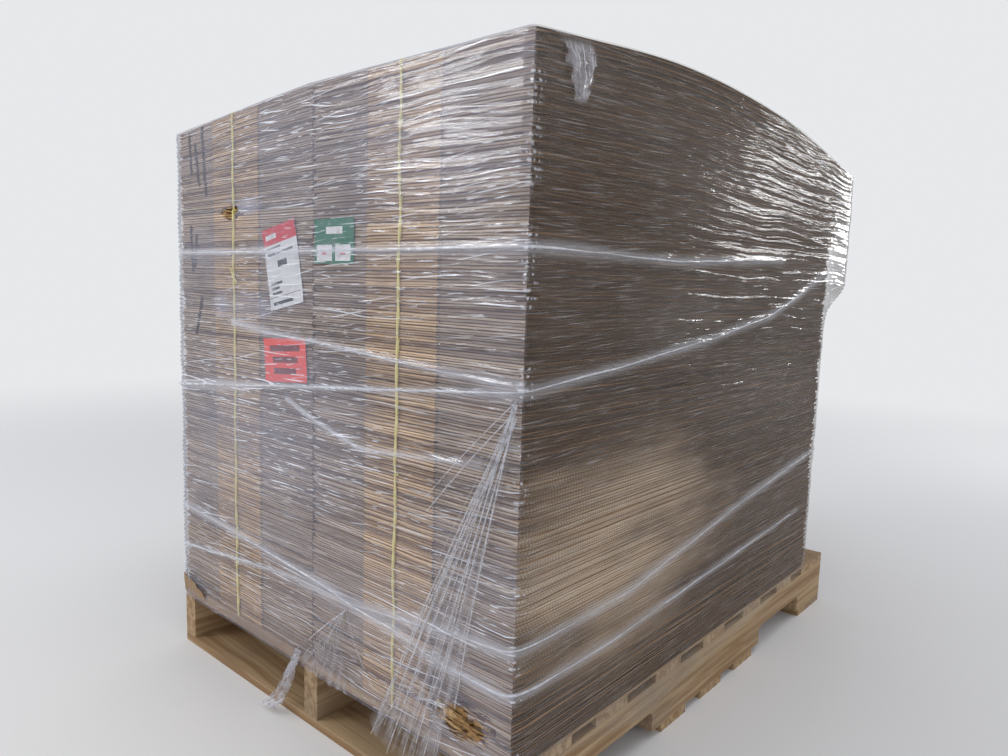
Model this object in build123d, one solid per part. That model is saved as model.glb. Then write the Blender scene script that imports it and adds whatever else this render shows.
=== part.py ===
from build123d import *
import os

# A stretch-wrapped load: flat corrugated boxes in ten tied bundles, five tiers of two, on a stringer pallet.
# Millimetres, +Z up, with the origin at the centre of the pallet's underside.
# X runs along the load's short side and Y along its long side. The labelled end faces -Y.

# Boxes and bundles: the four lower tiers end short of the top one at the far end
column_width = 457.0
top_box_length = 1219.0
lower_tier_setback = 127.0
boxes_in_bundle = 24
tier_heights = (173.0, 195.0, 201.0, 202.0, 186.0)

# The top tier bows up along its length: rises above its labelled end, and how far along they lie.
# Its left column also slopes down to the load's left side.
crown_near_rise = 38.0
crown_near_along = 370.0
crown_far_rise = 32.0
crown_far_along = 790.0
crown_end_drop = 22.0
left_side_drop = 30.0

# Gaps between the flat boxes, and the slots between their three flaps on the labelled end.
# The outer flaps are set back a little, and the middle one takes what width they leave.
gap_opening = 2.4
gap_depth = 6.0
slot_width = 3.0
slot_depth = 9.0
right_flap_width = 160.0
left_flap_width = 140.0
outer_flap_setback = 2.0

# String ties, pressed into the top and bottom of each bundle
tie_width = 3.0
tie_thickness = 1.5
tie_offset = 12.0
tie_side_clearance = 0.5

# Sheet between the pallet and the load
sheet_thickness = 4.0

# Pallet
stringer_width = 38.0
stringer_height = 89.0
notch_length = 229.0
notch_depth = 38.0
notch_end_distance = 152.0
notch_corner_radius = 12.0
board_thickness = 16.0
lead_board_width = 140.0
board_width = 89.0
inner_top_boards = 5
inner_bottom_boards = 3
bottom_board_spacing = 150.0

# Stretch film
film_thickness = 1.0
film_clearance = 0.3
film_top_lap = 90.0
film_hang_height = 690.0
film_tuck_height = 611.0
film_front_hem = 20.0
film_low_hem = 62.0
film_low_hem_along = 330.0
film_mid_hem = 36.0
film_mid_hem_along = 740.0
film_end_hem_rise = 1.0

# Labels: width, height, distance of the centre from the load's middle, height above the load's base, turn
label_thickness = 0.5
label_sizes = {
    "orange_label": (127.0, 76.0, -78.0, 512.0, -4.5),
    "white_label": (100.0, 140.0, -84.0, 673.0, -11.5),
    "green_label": (102.0, 70.0, 60.0, 712.0, 0.0),
}

load_width = 2 * column_width
pallet_height = 2 * board_thickness + stringer_height
load_base = pallet_height + sheet_thickness
front_y = -top_box_length / 2
top_back_y = front_y + top_box_length
lower_back_y = top_back_y - lower_tier_setback
cut_reach = 5.0


def yz_solid(points, x_from, x_to):
    """Closed outline in the YZ plane, pushed along X."""
    outline = Polygon(*points, align=None)
    return extrude(Plane.YZ.offset(x_from) * outline, x_to - x_from, dir=(1, 0, 0))


def tier_base(tier):
    return load_base + sum(tier_heights[:tier])


def is_top(tier):
    return tier == len(tier_heights) - 1


def level_line(tier, share, x=0):
    """Points (y, z) of the line at x and at a share of a bundle's height, from the labelled end to the far end."""
    level = tier_base(tier) + tier_heights[tier] * share
    if not is_top(tier):
        return [(front_y, level), (lower_back_y, level)]
    level -= left_side_drop * share * max(0, -x) / column_width
    return [
        (front_y, level),
        (front_y + crown_near_along, level + crown_near_rise * share),
        (front_y + crown_far_along, level + crown_far_rise * share),
        (top_back_y, level - crown_end_drop * share),
    ]


def bundle_outline(tier):
    """Side outline of a bundle: flat below, and along its own top."""
    return level_line(tier, 0) + level_line(tier, 1)[::-1]


def gap_cutter(start, end, outward):
    """Wedge that opens the gap between two boxes along one side. Its ends are upright, so spans meet cleanly."""
    run = Vector(*end) - Vector(*start)
    half = gap_opening / 2
    outer_half = half * (gap_depth + cut_reach) / gap_depth
    wedge = Polygon((-gap_depth, 0), (cut_reach, -outer_half), (cut_reach, outer_half), align=None)
    place = Plane(origin=start, x_dir=outward, z_dir=(run.X, run.Y, 0))
    return extrude(place * wedge, run.length, dir=run.normalized())


def stretched(points):
    """The same line, reaching a little past both its ends."""
    first, second, before_last, last = (Vector(*points[place]) for place in (0, 1, -2, -1))
    start = first + (first - second).normalized() * cut_reach
    end = last + (last - before_last).normalized() * cut_reach
    return [tuple(start)] + points[1:-1] + [tuple(end)]


def gap_cutters(tier, inner_x, outer_x):
    """Wedges for every gap of a bundle, on its two ends and its outer side."""
    outward = (1, 0, 0) if outer_x > inner_x else (-1, 0, 0)
    cutters = []
    for box in range(1, boxes_in_bundle):
        share = box / boxes_in_bundle
        inner = [(inner_x, y, z) for y, z in level_line(tier, share, inner_x)]
        outer = [(outer_x, y, z) for y, z in level_line(tier, share, outer_x)]
        cutters.append(gap_cutter(*stretched([inner[0], outer[0]]), (0, -1, 0)))
        cutters.append(gap_cutter(*stretched([inner[-1], outer[-1]]), (0, 1, 0)))
        side = stretched(outer)
        for start, end in zip(side, side[1:]):
            cutters.append(gap_cutter(start, end, outward))
    return cutters


def slope_cut(rise):
    """Everything over the sloping top of the load's left half, from the given height above it."""
    line = stretched([(0, y, z + rise) for y, z in level_line(len(tier_heights) - 1, 1)])
    over = max(z for x, y, z in line) + column_width
    corners = [(0, line[-1][1], over), (0, line[0][1], over)]
    face = make_face(Polyline(*line, *corners, close=True))
    across = Vector(-column_width, 0, -left_side_drop)
    return extrude(face, 2 * across.length, dir=across.normalized())


def front_cut(x_from, x_to, depth, tier):
    """Block cut out of a bundle's labelled end, over its whole height."""
    base = tier_base(tier)
    height = tier_heights[tier]
    y_outside = front_y - cut_reach
    outline = [
        (y_outside, base - cut_reach),
        (front_y + depth, base - cut_reach),
        (front_y + depth, base + height + cut_reach),
        (y_outside, base + height + cut_reach),
    ]
    return yz_solid(outline, min(x_from, x_to), max(x_from, x_to))


def flap_cuts(tier, right_edge):
    """Slots between the flaps, and the setback of the outer flaps, for a column that ends at right_edge."""
    left_edge = right_edge - column_width
    first = right_edge - right_flap_width
    second = left_edge + left_flap_width
    return [
        front_cut(first - slot_width / 2, first + slot_width / 2, slot_depth, tier),
        front_cut(second - slot_width / 2, second + slot_width / 2, slot_depth, tier),
        front_cut(first, right_edge + cut_reach, outer_flap_setback, tier),
        front_cut(left_edge - cut_reach, second, outer_flap_setback, tier),
    ]


def tie_place(right_edge):
    return right_edge - column_width / 2 - tie_offset


def tie_loop(tier, tie_x, width, past=0.0):
    """String round a bundle's length: proud of its ends, and past its top and bottom by the given amount."""
    bottom = level_line(tier, 0, tie_x)
    top = level_line(tier, 1, tie_x)
    back_y = bottom[-1][0]
    inner = [(y, z + tie_thickness) for y, z in bottom] + [(y, z - tie_thickness) for y, z in top[::-1]]
    ends = {front_y: front_y - tie_thickness, back_y: back_y + tie_thickness}
    outer = [(ends.get(y, y), z - past) for y, z in bottom]
    outer += [(ends.get(y, y), z + past) for y, z in top[::-1]]
    band = yz_solid(outer, tie_x - width / 2, tie_x + width / 2)
    return band - yz_solid(inner, tie_x - width, tie_x + width)


def bundle(tier, right_edge):
    """One tied bundle of flat boxes, with its gaps, flap slots and string groove."""
    left_edge = right_edge - column_width
    inner_x, outer_x = (left_edge, right_edge) if right_edge > 0 else (right_edge, left_edge)
    block = yz_solid(bundle_outline(tier), left_edge, right_edge)
    if is_top(tier):
        block -= slope_cut(0.0)
    groove = tie_loop(tier, tie_place(right_edge), tie_width + 2 * tie_side_clearance, tie_thickness)
    return block - (gap_cutters(tier, inner_x, outer_x) + flap_cuts(tier, right_edge) + [groove])


def stringer(x):
    """Notched stringer, standing on the bottom boards."""
    bottom = board_thickness
    body = yz_solid(
        [
            (front_y, bottom),
            (top_back_y, bottom),
            (top_back_y, bottom + stringer_height),
            (front_y, bottom + stringer_height),
        ],
        x - stringer_width / 2,
        x + stringer_width / 2,
    )
    for end in (-1, 1):
        notch_y = end * (top_box_length / 2 - notch_end_distance - notch_length / 2)
        notch = Pos(x, notch_y, bottom) * Box(2 * stringer_width, notch_length, 2 * notch_depth)
        notch = fillet(notch.edges().filter_by(Axis.X), notch_corner_radius)
        body -= notch
    return body


def board(y, width, bottom):
    """Deck board across the pallet."""
    place = Pos(0, y, bottom + board_thickness / 2)
    return place * Box(load_width, width, board_thickness)


def film_profile():
    """Side outline of the inside of the film: over the top, under the far end's overhang and down."""
    gap = film_clearance
    front = front_y - tie_thickness - gap
    top_back = top_back_y + tie_thickness + gap
    lower_back = lower_back_y + tie_thickness + gap
    top = [(y, z + gap) for y, z in level_line(len(tier_heights) - 1, 1)]
    inside = [(front, 0)]
    inside += [(front, top[0][1])] + top[1:-1] + [(top_back, top[-1][1])]
    inside += [(top_back, load_base + film_hang_height)]
    inside += [(lower_back, load_base + film_tuck_height)]
    inside += [(lower_back, 0)]
    return Polygon(*inside, align=None)


def film_hem_cut():
    """Everything below the film's lower edge, which dips along the long sides."""
    side_reach = load_width
    front = front_y - tie_thickness - film_clearance - 2 * film_thickness
    hem = [
        (front, load_base - film_front_hem),
        (front_y, load_base - film_front_hem),
        (front_y + film_low_hem_along, load_base - film_low_hem),
        (front_y + film_mid_hem_along, load_base - film_mid_hem),
        (lower_back_y, load_base + film_end_hem_rise),
        (top_back_y, load_base + film_end_hem_rise),
    ]
    below = [(top_back_y, -side_reach), (front, -side_reach)]
    return yz_solid(hem + below, -side_reach, side_reach)


def stretch_film():
    """Film shell, open below and over the middle of the top."""
    inside = film_profile()
    outside = offset(inside, film_thickness, kind=Kind.INTERSECTION)
    half = load_width / 2 + film_clearance
    core = extrude(Plane.YZ * inside, half, both=True)
    core -= slope_cut(film_clearance)
    skin = extrude(Plane.YZ * outside, half + film_thickness, both=True)
    skin -= slope_cut(film_clearance + film_thickness)
    opening_height = 4 * tier_heights[-1]
    opening = Pos(0, 0, tier_base(len(tier_heights) - 1) + opening_height / 2) * Box(
        load_width - 2 * film_top_lap, top_box_length - 2 * film_top_lap, opening_height
    )
    return skin - core - opening - film_hem_cut()


def label(width, height, x, rise, turn):
    """Flat label, stuck to the set-back flaps of the labelled end."""
    face_y = front_y + outer_flap_setback
    plate = Rot(0, turn, 0) * Box(width, label_thickness, height)
    return Pos(x, face_y - label_thickness / 2, load_base + rise) * plate


def write(name, solid):
    solid.label = name
    export_step(solid, f"parts/{name}.step")


os.makedirs("parts", exist_ok=True)

stringer_places = {
    "stringer_left": -(load_width - stringer_width) / 2,
    "stringer_middle": 0.0,
    "stringer_right": (load_width - stringer_width) / 2,
}
for name, x in stringer_places.items():
    write(name, stringer(x))

lead_y = (top_box_length - lead_board_width) / 2
top_boards_bottom = board_thickness + stringer_height
boards = [-lead_y, lead_y]
inner_pitch = 2 * lead_y / (inner_top_boards + 1)
boards += [-lead_y + inner_pitch * (place + 1) for place in range(inner_top_boards)]
for number, y in enumerate(sorted(boards), 1):
    width = lead_board_width if abs(y) == lead_y else board_width
    write(f"top_board_{number}", board(y, width, top_boards_bottom))

boards = [-lead_y, lead_y]
boards += [bottom_board_spacing * (place - (inner_bottom_boards - 1) / 2) for place in range(inner_bottom_boards)]
for number, y in enumerate(sorted(boards), 1):
    width = lead_board_width if abs(y) == lead_y else board_width
    write(f"bottom_board_{number}", board(y, width, 0))

sheet = Pos(0, 0, pallet_height + sheet_thickness / 2) * Box(load_width, top_box_length, sheet_thickness)
write("slip_sheet", sheet)

for tier in range(len(tier_heights)):
    for side, right_edge in (("right", column_width), ("left", 0.0)):
        write(f"bundle_tier_{tier + 1}_{side}", bundle(tier, right_edge))
        write(f"string_tier_{tier + 1}_{side}", tie_loop(tier, tie_place(right_edge), tie_width))

write("stretch_film", stretch_film())
for name, size in label_sizes.items():
    write(name, label(*size))
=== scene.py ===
import math
from functools import partial
import bpy
import numpy as np
from mathutils import Matrix, Vector


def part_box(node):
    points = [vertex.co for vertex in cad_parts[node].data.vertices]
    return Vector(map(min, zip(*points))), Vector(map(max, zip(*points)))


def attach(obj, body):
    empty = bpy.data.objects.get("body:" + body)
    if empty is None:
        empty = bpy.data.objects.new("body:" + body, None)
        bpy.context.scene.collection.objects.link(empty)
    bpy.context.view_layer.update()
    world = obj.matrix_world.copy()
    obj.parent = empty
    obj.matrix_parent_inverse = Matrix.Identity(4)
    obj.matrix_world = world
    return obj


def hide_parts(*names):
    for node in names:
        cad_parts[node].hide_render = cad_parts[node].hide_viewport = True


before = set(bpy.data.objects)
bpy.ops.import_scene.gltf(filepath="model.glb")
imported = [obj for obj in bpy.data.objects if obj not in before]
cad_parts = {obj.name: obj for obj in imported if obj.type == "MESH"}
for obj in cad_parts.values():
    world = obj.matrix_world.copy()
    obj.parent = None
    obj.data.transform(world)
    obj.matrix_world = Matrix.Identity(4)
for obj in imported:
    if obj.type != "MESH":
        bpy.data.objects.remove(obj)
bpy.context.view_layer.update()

mm = 0.001
tierCount = 5
bundleLow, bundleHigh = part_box("bundle_tier_1_right")
loadBase = bundleLow.z
frontFace = bundleLow.y
halfWidth = bundleHigh.x
lowerBack = bundleHigh.y
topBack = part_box("bundle_tier_5_right")[1].y


# Small helpers for the modelling

def deselectAll():
    if bpy.context.object and bpy.context.object.mode != "OBJECT":
        bpy.ops.object.mode_set(mode="OBJECT")
    bpy.ops.object.select_all(action="DESELECT")


def pick(piece):
    deselectAll()
    piece.select_set(True)
    bpy.context.view_layer.objects.active = piece


def nameNew(name):
    piece = bpy.context.object
    piece.name = name
    piece.data.name = name
    return piece


def newGrid(name, columns, rows):
    # a flat grid, and each point's place across and up it, from 0 to 1
    bpy.ops.mesh.primitive_grid_add(x_subdivisions=columns, y_subdivisions=rows, size=1)
    grid = nameNew(name)
    across, up = readPoints(grid)[:, :2].T + 0.5
    return grid, across, up


def copyPiece(piece, name):
    twin = piece.copy()
    twin.data = piece.data.copy()
    twin.name = name
    twin.data.name = name
    bpy.context.scene.collection.objects.link(twin)
    return twin


def linkNew(name, data):
    piece = bpy.data.objects.new(name, data)
    bpy.context.scene.collection.objects.link(piece)
    return piece


def joinPieces(pieces, name):
    deselectAll()
    for piece in pieces:
        piece.select_set(True)
    bpy.context.view_layer.objects.active = pieces[0]
    bpy.ops.object.join()
    return nameNew(name)


def applyAll(piece):
    pick(piece)
    for modifier in list(piece.modifiers):
        bpy.ops.object.modifier_apply(modifier=modifier.name)
    return piece


def thicken(piece, thickness, offset=-1.0):
    shell = piece.modifiers.new("thickness", "SOLIDIFY")
    shell.thickness = thickness
    shell.offset = offset
    return applyAll(piece)


def mergePoints(piece, within):
    pick(piece)
    bpy.ops.object.mode_set(mode="EDIT")
    bpy.ops.mesh.select_all(action="SELECT")
    bpy.ops.mesh.remove_doubles(threshold=within)
    bpy.ops.mesh.normals_make_consistent(inside=False)
    bpy.ops.object.mode_set(mode="OBJECT")
    return piece


def readPoints(piece):
    points = np.zeros(len(piece.data.vertices) * 3)
    piece.data.vertices.foreach_get("co", points)
    return points.reshape(-1, 3)


def writePoints(piece, points):
    piece.data.vertices.foreach_set("co", np.asarray(points, np.float32).ravel())
    piece.data.update()


def readNormals(piece):
    normals = np.zeros(len(piece.data.polygons) * 3)
    piece.data.polygons.foreach_get("normal", normals)
    return normals.reshape(-1, 3)


def chooseFaces(piece, chosen):
    # selects the faces where chosen is true, and leaves the piece in edit mode
    bpy.ops.object.mode_set(mode="EDIT")
    bpy.ops.mesh.select_mode(type="FACE")
    bpy.ops.mesh.select_all(action="DESELECT")
    bpy.ops.object.mode_set(mode="OBJECT")
    piece.data.polygons.foreach_set("select", chosen.astype(bool))
    bpy.ops.object.mode_set(mode="EDIT")


def addAttribute(piece, name, values):
    layer = piece.data.attributes.new(name, "FLOAT", "POINT")
    layer.data.foreach_set("value", np.asarray(values, np.float32))


def writeUv(piece, across, up):
    # gives every corner of the mesh the place of its vertex
    corners = np.zeros(len(piece.data.loops), np.int32)
    piece.data.loops.foreach_get("vertex_index", corners)
    layer = piece.data.uv_layers.active or piece.data.uv_layers.new()
    layer.name = "wrap"
    layer.data.foreach_set("uv", np.stack([across[corners], up[corners]], 1).astype(np.float32).ravel())


def smoothShade(piece, angle=None):
    pick(piece)
    if angle is None:
        bpy.ops.object.shade_smooth()
    else:
        bpy.ops.object.shade_smooth_by_angle(angle=math.radians(angle))


def ease(value, start, end):
    # 0 before the start and 1 past the end, smoothly
    share = np.clip((value - start) / (end - start), 0, 1)
    return share * share * (3 - 2 * share)


def softNoise(across, up, seed, size=64):
    # smooth seeded noise from -1 to 1, one cell for each unit of across and up
    grid = np.random.default_rng(seed).uniform(-1, 1, (size, size))
    column = np.floor(across).astype(int)
    row = np.floor(up).astype(int)
    a = ease(across - column, 0, 1)
    b = ease(up - row, 0, 1)
    low, high = (grid[line % size, column % size] * (1 - a) + grid[line % size, (column + 1) % size] * a
                 for line in (row, row + 1))
    return low * (1 - b) + high * b


# Shader helpers

def setInputs(tree, node, inputs):
    for key, value in inputs.items():
        if isinstance(value, bpy.types.NodeSocket):
            tree.links.new(value, node.inputs[key])
        else:
            node.inputs[key].default_value = value


def addNode(tree, kind, inputs=None, **settings):
    node = tree.nodes.new(kind)
    for key, value in settings.items():
        setattr(node, key, value)
    setInputs(tree, node, inputs or {})
    return node


def calc(operation, tree, first, second=0.0, third=0.0, clamp=False):
    return addNode(tree, "ShaderNodeMath", {0: first, 1: second, 2: third},
                   operation=operation, use_clamp=clamp).outputs[0]


times = partial(calc, "MULTIPLY")
plus = partial(calc, "ADD")
minus = partial(calc, "SUBTRACT")
timesPlus = partial(calc, "MULTIPLY_ADD")
larger = partial(calc, "MAXIMUM")
smaller = partial(calc, "MINIMUM")
above = partial(calc, "GREATER_THAN")
below = partial(calc, "LESS_THAN")
absolute = partial(calc, "ABSOLUTE")
fraction = partial(calc, "FRACT")
whole = partial(calc, "FLOOR")


def vectorMath(tree, operation, first, second=(0, 0, 0)):
    node = addNode(tree, "ShaderNodeVectorMath", {0: first, 1: second}, operation=operation)
    return node.outputs["Value" if operation in ("LENGTH", "DISTANCE", "DOT_PRODUCT") else "Vector"]


def reachFrom(tree, place, centre, stretch):
    # distance from a centre, with each axis stretched
    away = vectorMath(tree, "SUBTRACT", place, centre)
    return vectorMath(tree, "LENGTH", vectorMath(tree, "MULTIPLY", away, stretch))


def axesOf(tree, place):
    return addNode(tree, "ShaderNodeSeparateXYZ", {0: place}).outputs


def fromAxes(tree, first, second=0.0, third=0.0):
    return addNode(tree, "ShaderNodeCombineXYZ", {0: first, 1: second, 2: third}).outputs[0]


def attribute(tree, name):
    return addNode(tree, "ShaderNodeAttribute", attribute_name=name).outputs["Fac"]


def objectPlace(tree):
    return addNode(tree, "ShaderNodeTexCoord").outputs["Object"]


def wrapPlace(tree):
    return addNode(tree, "ShaderNodeUVMap", uv_map="wrap").outputs[0]


def leaning(tree, place, angle):
    return addNode(tree, "ShaderNodeVectorRotate", {"Vector": place, "Angle": angle},
                   rotation_type="Z_AXIS").outputs[0]


def mixColour(tree, share, first, second):
    return addNode(tree, "ShaderNodeMix", {0: share, 6: first, 7: second}, data_type="RGBA").outputs[2]


def spread(tree, value, low, high, newLow=0.0, newHigh=1.0, kind="SMOOTHSTEP"):
    return addNode(tree, "ShaderNodeMapRange",
                   {"Value": value, "From Min": low, "From Max": high, "To Min": newLow, "To Max": newHigh},
                   interpolation_type=kind).outputs["Result"]


def noiseAt(tree, place, scale, detail=3.0, roughness=0.55, stretch=(1, 1, 1)):
    stretched = addNode(tree, "ShaderNodeMapping", {"Vector": place, "Scale": stretch}).outputs[0]
    return addNode(tree, "ShaderNodeTexNoise", {
        "Vector": stretched, "Scale": scale, "Detail": detail, "Roughness": roughness}).outputs["Fac"]


def chance(tree, number):
    # a random value for each whole number
    return addNode(tree, "ShaderNodeTexWhiteNoise", {"W": number}, noise_dimensions="1D").outputs["Value"]


def rgb(red, green, blue):
    # an sRGB colour, 0 to 255, as the shader takes it
    levels = [value / 255 for value in (red, green, blue)]
    return [v / 12.92 if v <= 0.04045 else ((v + 0.055) / 1.055) ** 2.4 for v in levels] + [1.0]


def newMaterial(name):
    material = bpy.data.materials.new(name)
    material.use_nodes = True
    tree = material.node_tree
    return material, tree, tree.nodes["Principled BSDF"]


def newGroup(name, inputs, outputs):
    tree = bpy.data.node_groups.new(name, "ShaderNodeTree")
    for way, sockets in (("INPUT", inputs), ("OUTPUT", outputs)):
        for label, kind in sockets.items():
            tree.interface.new_socket(label, in_out=way, socket_type="NodeSocket" + kind)
    return tree, addNode(tree, "NodeGroupInput").outputs, addNode(tree, "NodeGroupOutput").inputs


def useGroup(tree, group, inputs):
    return addNode(tree, "ShaderNodeGroup", inputs, node_tree=group).outputs


def giveMaterial(piece, material):
    piece.data.materials.clear()
    piece.data.materials.append(material)


def bumpInto(tree, bsdf, height, distance, strength=1.0):
    # distance in metres
    bump = addNode(tree, "ShaderNodeBump", {"Height": height, "Distance": distance, "Strength": strength})
    tree.links.new(bump.outputs[0], bsdf.inputs["Normal"])


# Where the load's top runs: a smooth line through the bundle's own top corners, sloping on the left column

def topBundleEdge(side, edgeX):
    points = readPoints(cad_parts["bundle_tier_5_" + side])
    return points[np.abs(points[:, 0] - edgeX) < mm]


def turnsUp(first, second, third):
    runs = (second[0] - first[0]) * (third[1] - first[1])
    return runs - (second[1] - first[1]) * (third[0] - first[0]) >= -1e-7


def topLine():
    edge = topBundleEdge("right", halfWidth)
    hull = []
    for y in np.unique(np.round(edge[:, 1], 4)):
        place = (y, edge[np.abs(edge[:, 1] - y) < 0.2 * mm][:, 2].max())
        while len(hull) > 1 and turnsUp(hull[-2], hull[-1], place):
            hull.pop()
        hull.append(place)
    return np.array(hull)


crownPoints = topLine()
leftEdge = topBundleEdge("left", -halfWidth)
leftDrop = crownPoints[0][1] - leftEdge[leftEdge[:, 1] < frontFace + 5 * mm][:, 2].max()


def crownAt(y):
    # a smooth curve through the crown's corners, with a mean slope at each
    ys, zs = crownPoints[:, 0], crownPoints[:, 1]
    slopes = np.gradient(zs, ys)
    span = np.clip(np.searchsorted(ys, y) - 1, 0, len(ys) - 2)
    run = ys[span + 1] - ys[span]
    t = np.clip((y - ys[span]) / run, 0, 1)
    return ((2 * t**3 - 3 * t**2 + 1) * zs[span] + (t**3 - 2 * t**2 + t) * run * slopes[span]
            + (-2 * t**3 + 3 * t**2) * zs[span + 1] + (t**3 - t**2) * run * slopes[span + 1])


def topAt(x, y):
    return crownAt(y) - leftDrop * np.clip(-x / halfWidth, 0, 1)


# Flat boxes: one is modelled as a double board, stacked into a bundle and copied to every bundle

stack = {  # lengths in mm unless noted
    "boxes": 24,
    "boxLevels": (0.0, 0.065, 0.44, 0.5, 0.56, 0.93),  # heights in one box's two boards, as shares
    "boxInsets": (3.0, 0.0, 0.0, 2.2, 0.0, 0.0),  # mm that each level lies back from the edge
    "endColumns": 46,
    "sideRows": 36,
    "slotPlaces": (0.160, 0.317),  # m from a column's right edge to its flap slots
    "slotHalf": 1.2,
    "slotDepth": 3.0,
    "outerFlapBack": 2.2,
    "raggedEdge": 4.2,  # mm that a board may lie back from its neighbours
    "cornerRagged": 5.0,
    "jointShare": 0.3,  # how far the edges at the middle joint lie back, beside the outer ones
    "thickness": 0.26,  # share by which boxes differ in height
    "waviness": 1.9,
    "flapDepth": 0.21,  # m from both ends to the scored lines
    "penEdge": (0.0060, 0.0044),  # m from a stroke's middle, where it ends and where it is full
    "flutePitch": 0.0062,  # m
    "paintedLightPatch": (0.457, -0.36, 0.375),  # m, centre of the painted pool of light on the right side
    "paintedLightStretch": (2.0, 2.7, 6.4),
    # strokes of a broad pen on the labelled end: start and end as distance from the near corner and height
    "penStrokes": (
        ((-0.868, 0.920), (-0.862, 0.852)),
        ((-0.846, 0.902), (-0.832, 0.828)),
        ((-0.818, 0.930), (-0.806, 0.806)),
        ((-0.868, 0.744), (-0.862, 0.664)),
        ((-0.845, 0.728), (-0.852, 0.672)),
        ((-0.828, 0.606), (-0.852, 0.540)),
    ),
}

tears = {
    # where boards and film are torn: distance along the labelled end from the near corner (under 0),
    # height over the load's base, and half sizes
    "places": ((-0.704, 0.768, 0.028, 0.012), (-0.088, 0.040, 0.042, 0.024)),
    "depth": 24.0,  # mm
    "strips": (6, 22),  # torn strips at each place
    "stripWidth": (1.2, 3.2),  # mm
    "stripCurl": (-6.0, 3.5),  # mm
    "stripThickness": 0.5,  # mm
}


def modelBoxStack():
    # the walls of one box in levels, piled up by an array, with a cap below and a lid on top
    cap, _, _ = newGrid("box_cap", stack["endColumns"], stack["sideRows"])
    box = copyPiece(cap, "box_walls")
    pick(box)
    bpy.ops.object.mode_set(mode="EDIT")
    bpy.ops.mesh.select_all(action="SELECT")
    levels = stack["boxLevels"] + (1.0,)
    for low, high in zip(levels, levels[1:]):
        bpy.ops.mesh.extrude_region_move(TRANSFORM_OT_translate={"value": (0, 0, high - low)})
    bpy.ops.object.mode_set(mode="OBJECT")
    chooseFaces(box, np.abs(readNormals(box)[:, 2]) > 0.5)
    bpy.ops.mesh.delete(type="FACE")
    bpy.ops.object.mode_set(mode="OBJECT")
    array = box.modifiers.new("pile", "ARRAY")
    array.count = stack["boxes"]
    array.use_relative_offset = False
    array.use_constant_offset = True
    array.constant_offset_displace = (0, 0, 1)
    array.use_merge_vertices = True
    array.merge_threshold = 0.001
    applyAll(box)
    lid = copyPiece(cap, "box_lid")
    lid.data.transform(Matrix.Translation((0, 0, stack["boxes"])))
    return mergePoints(joinPieces([box, cap, lid], "box_pile"), 0.001)


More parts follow.
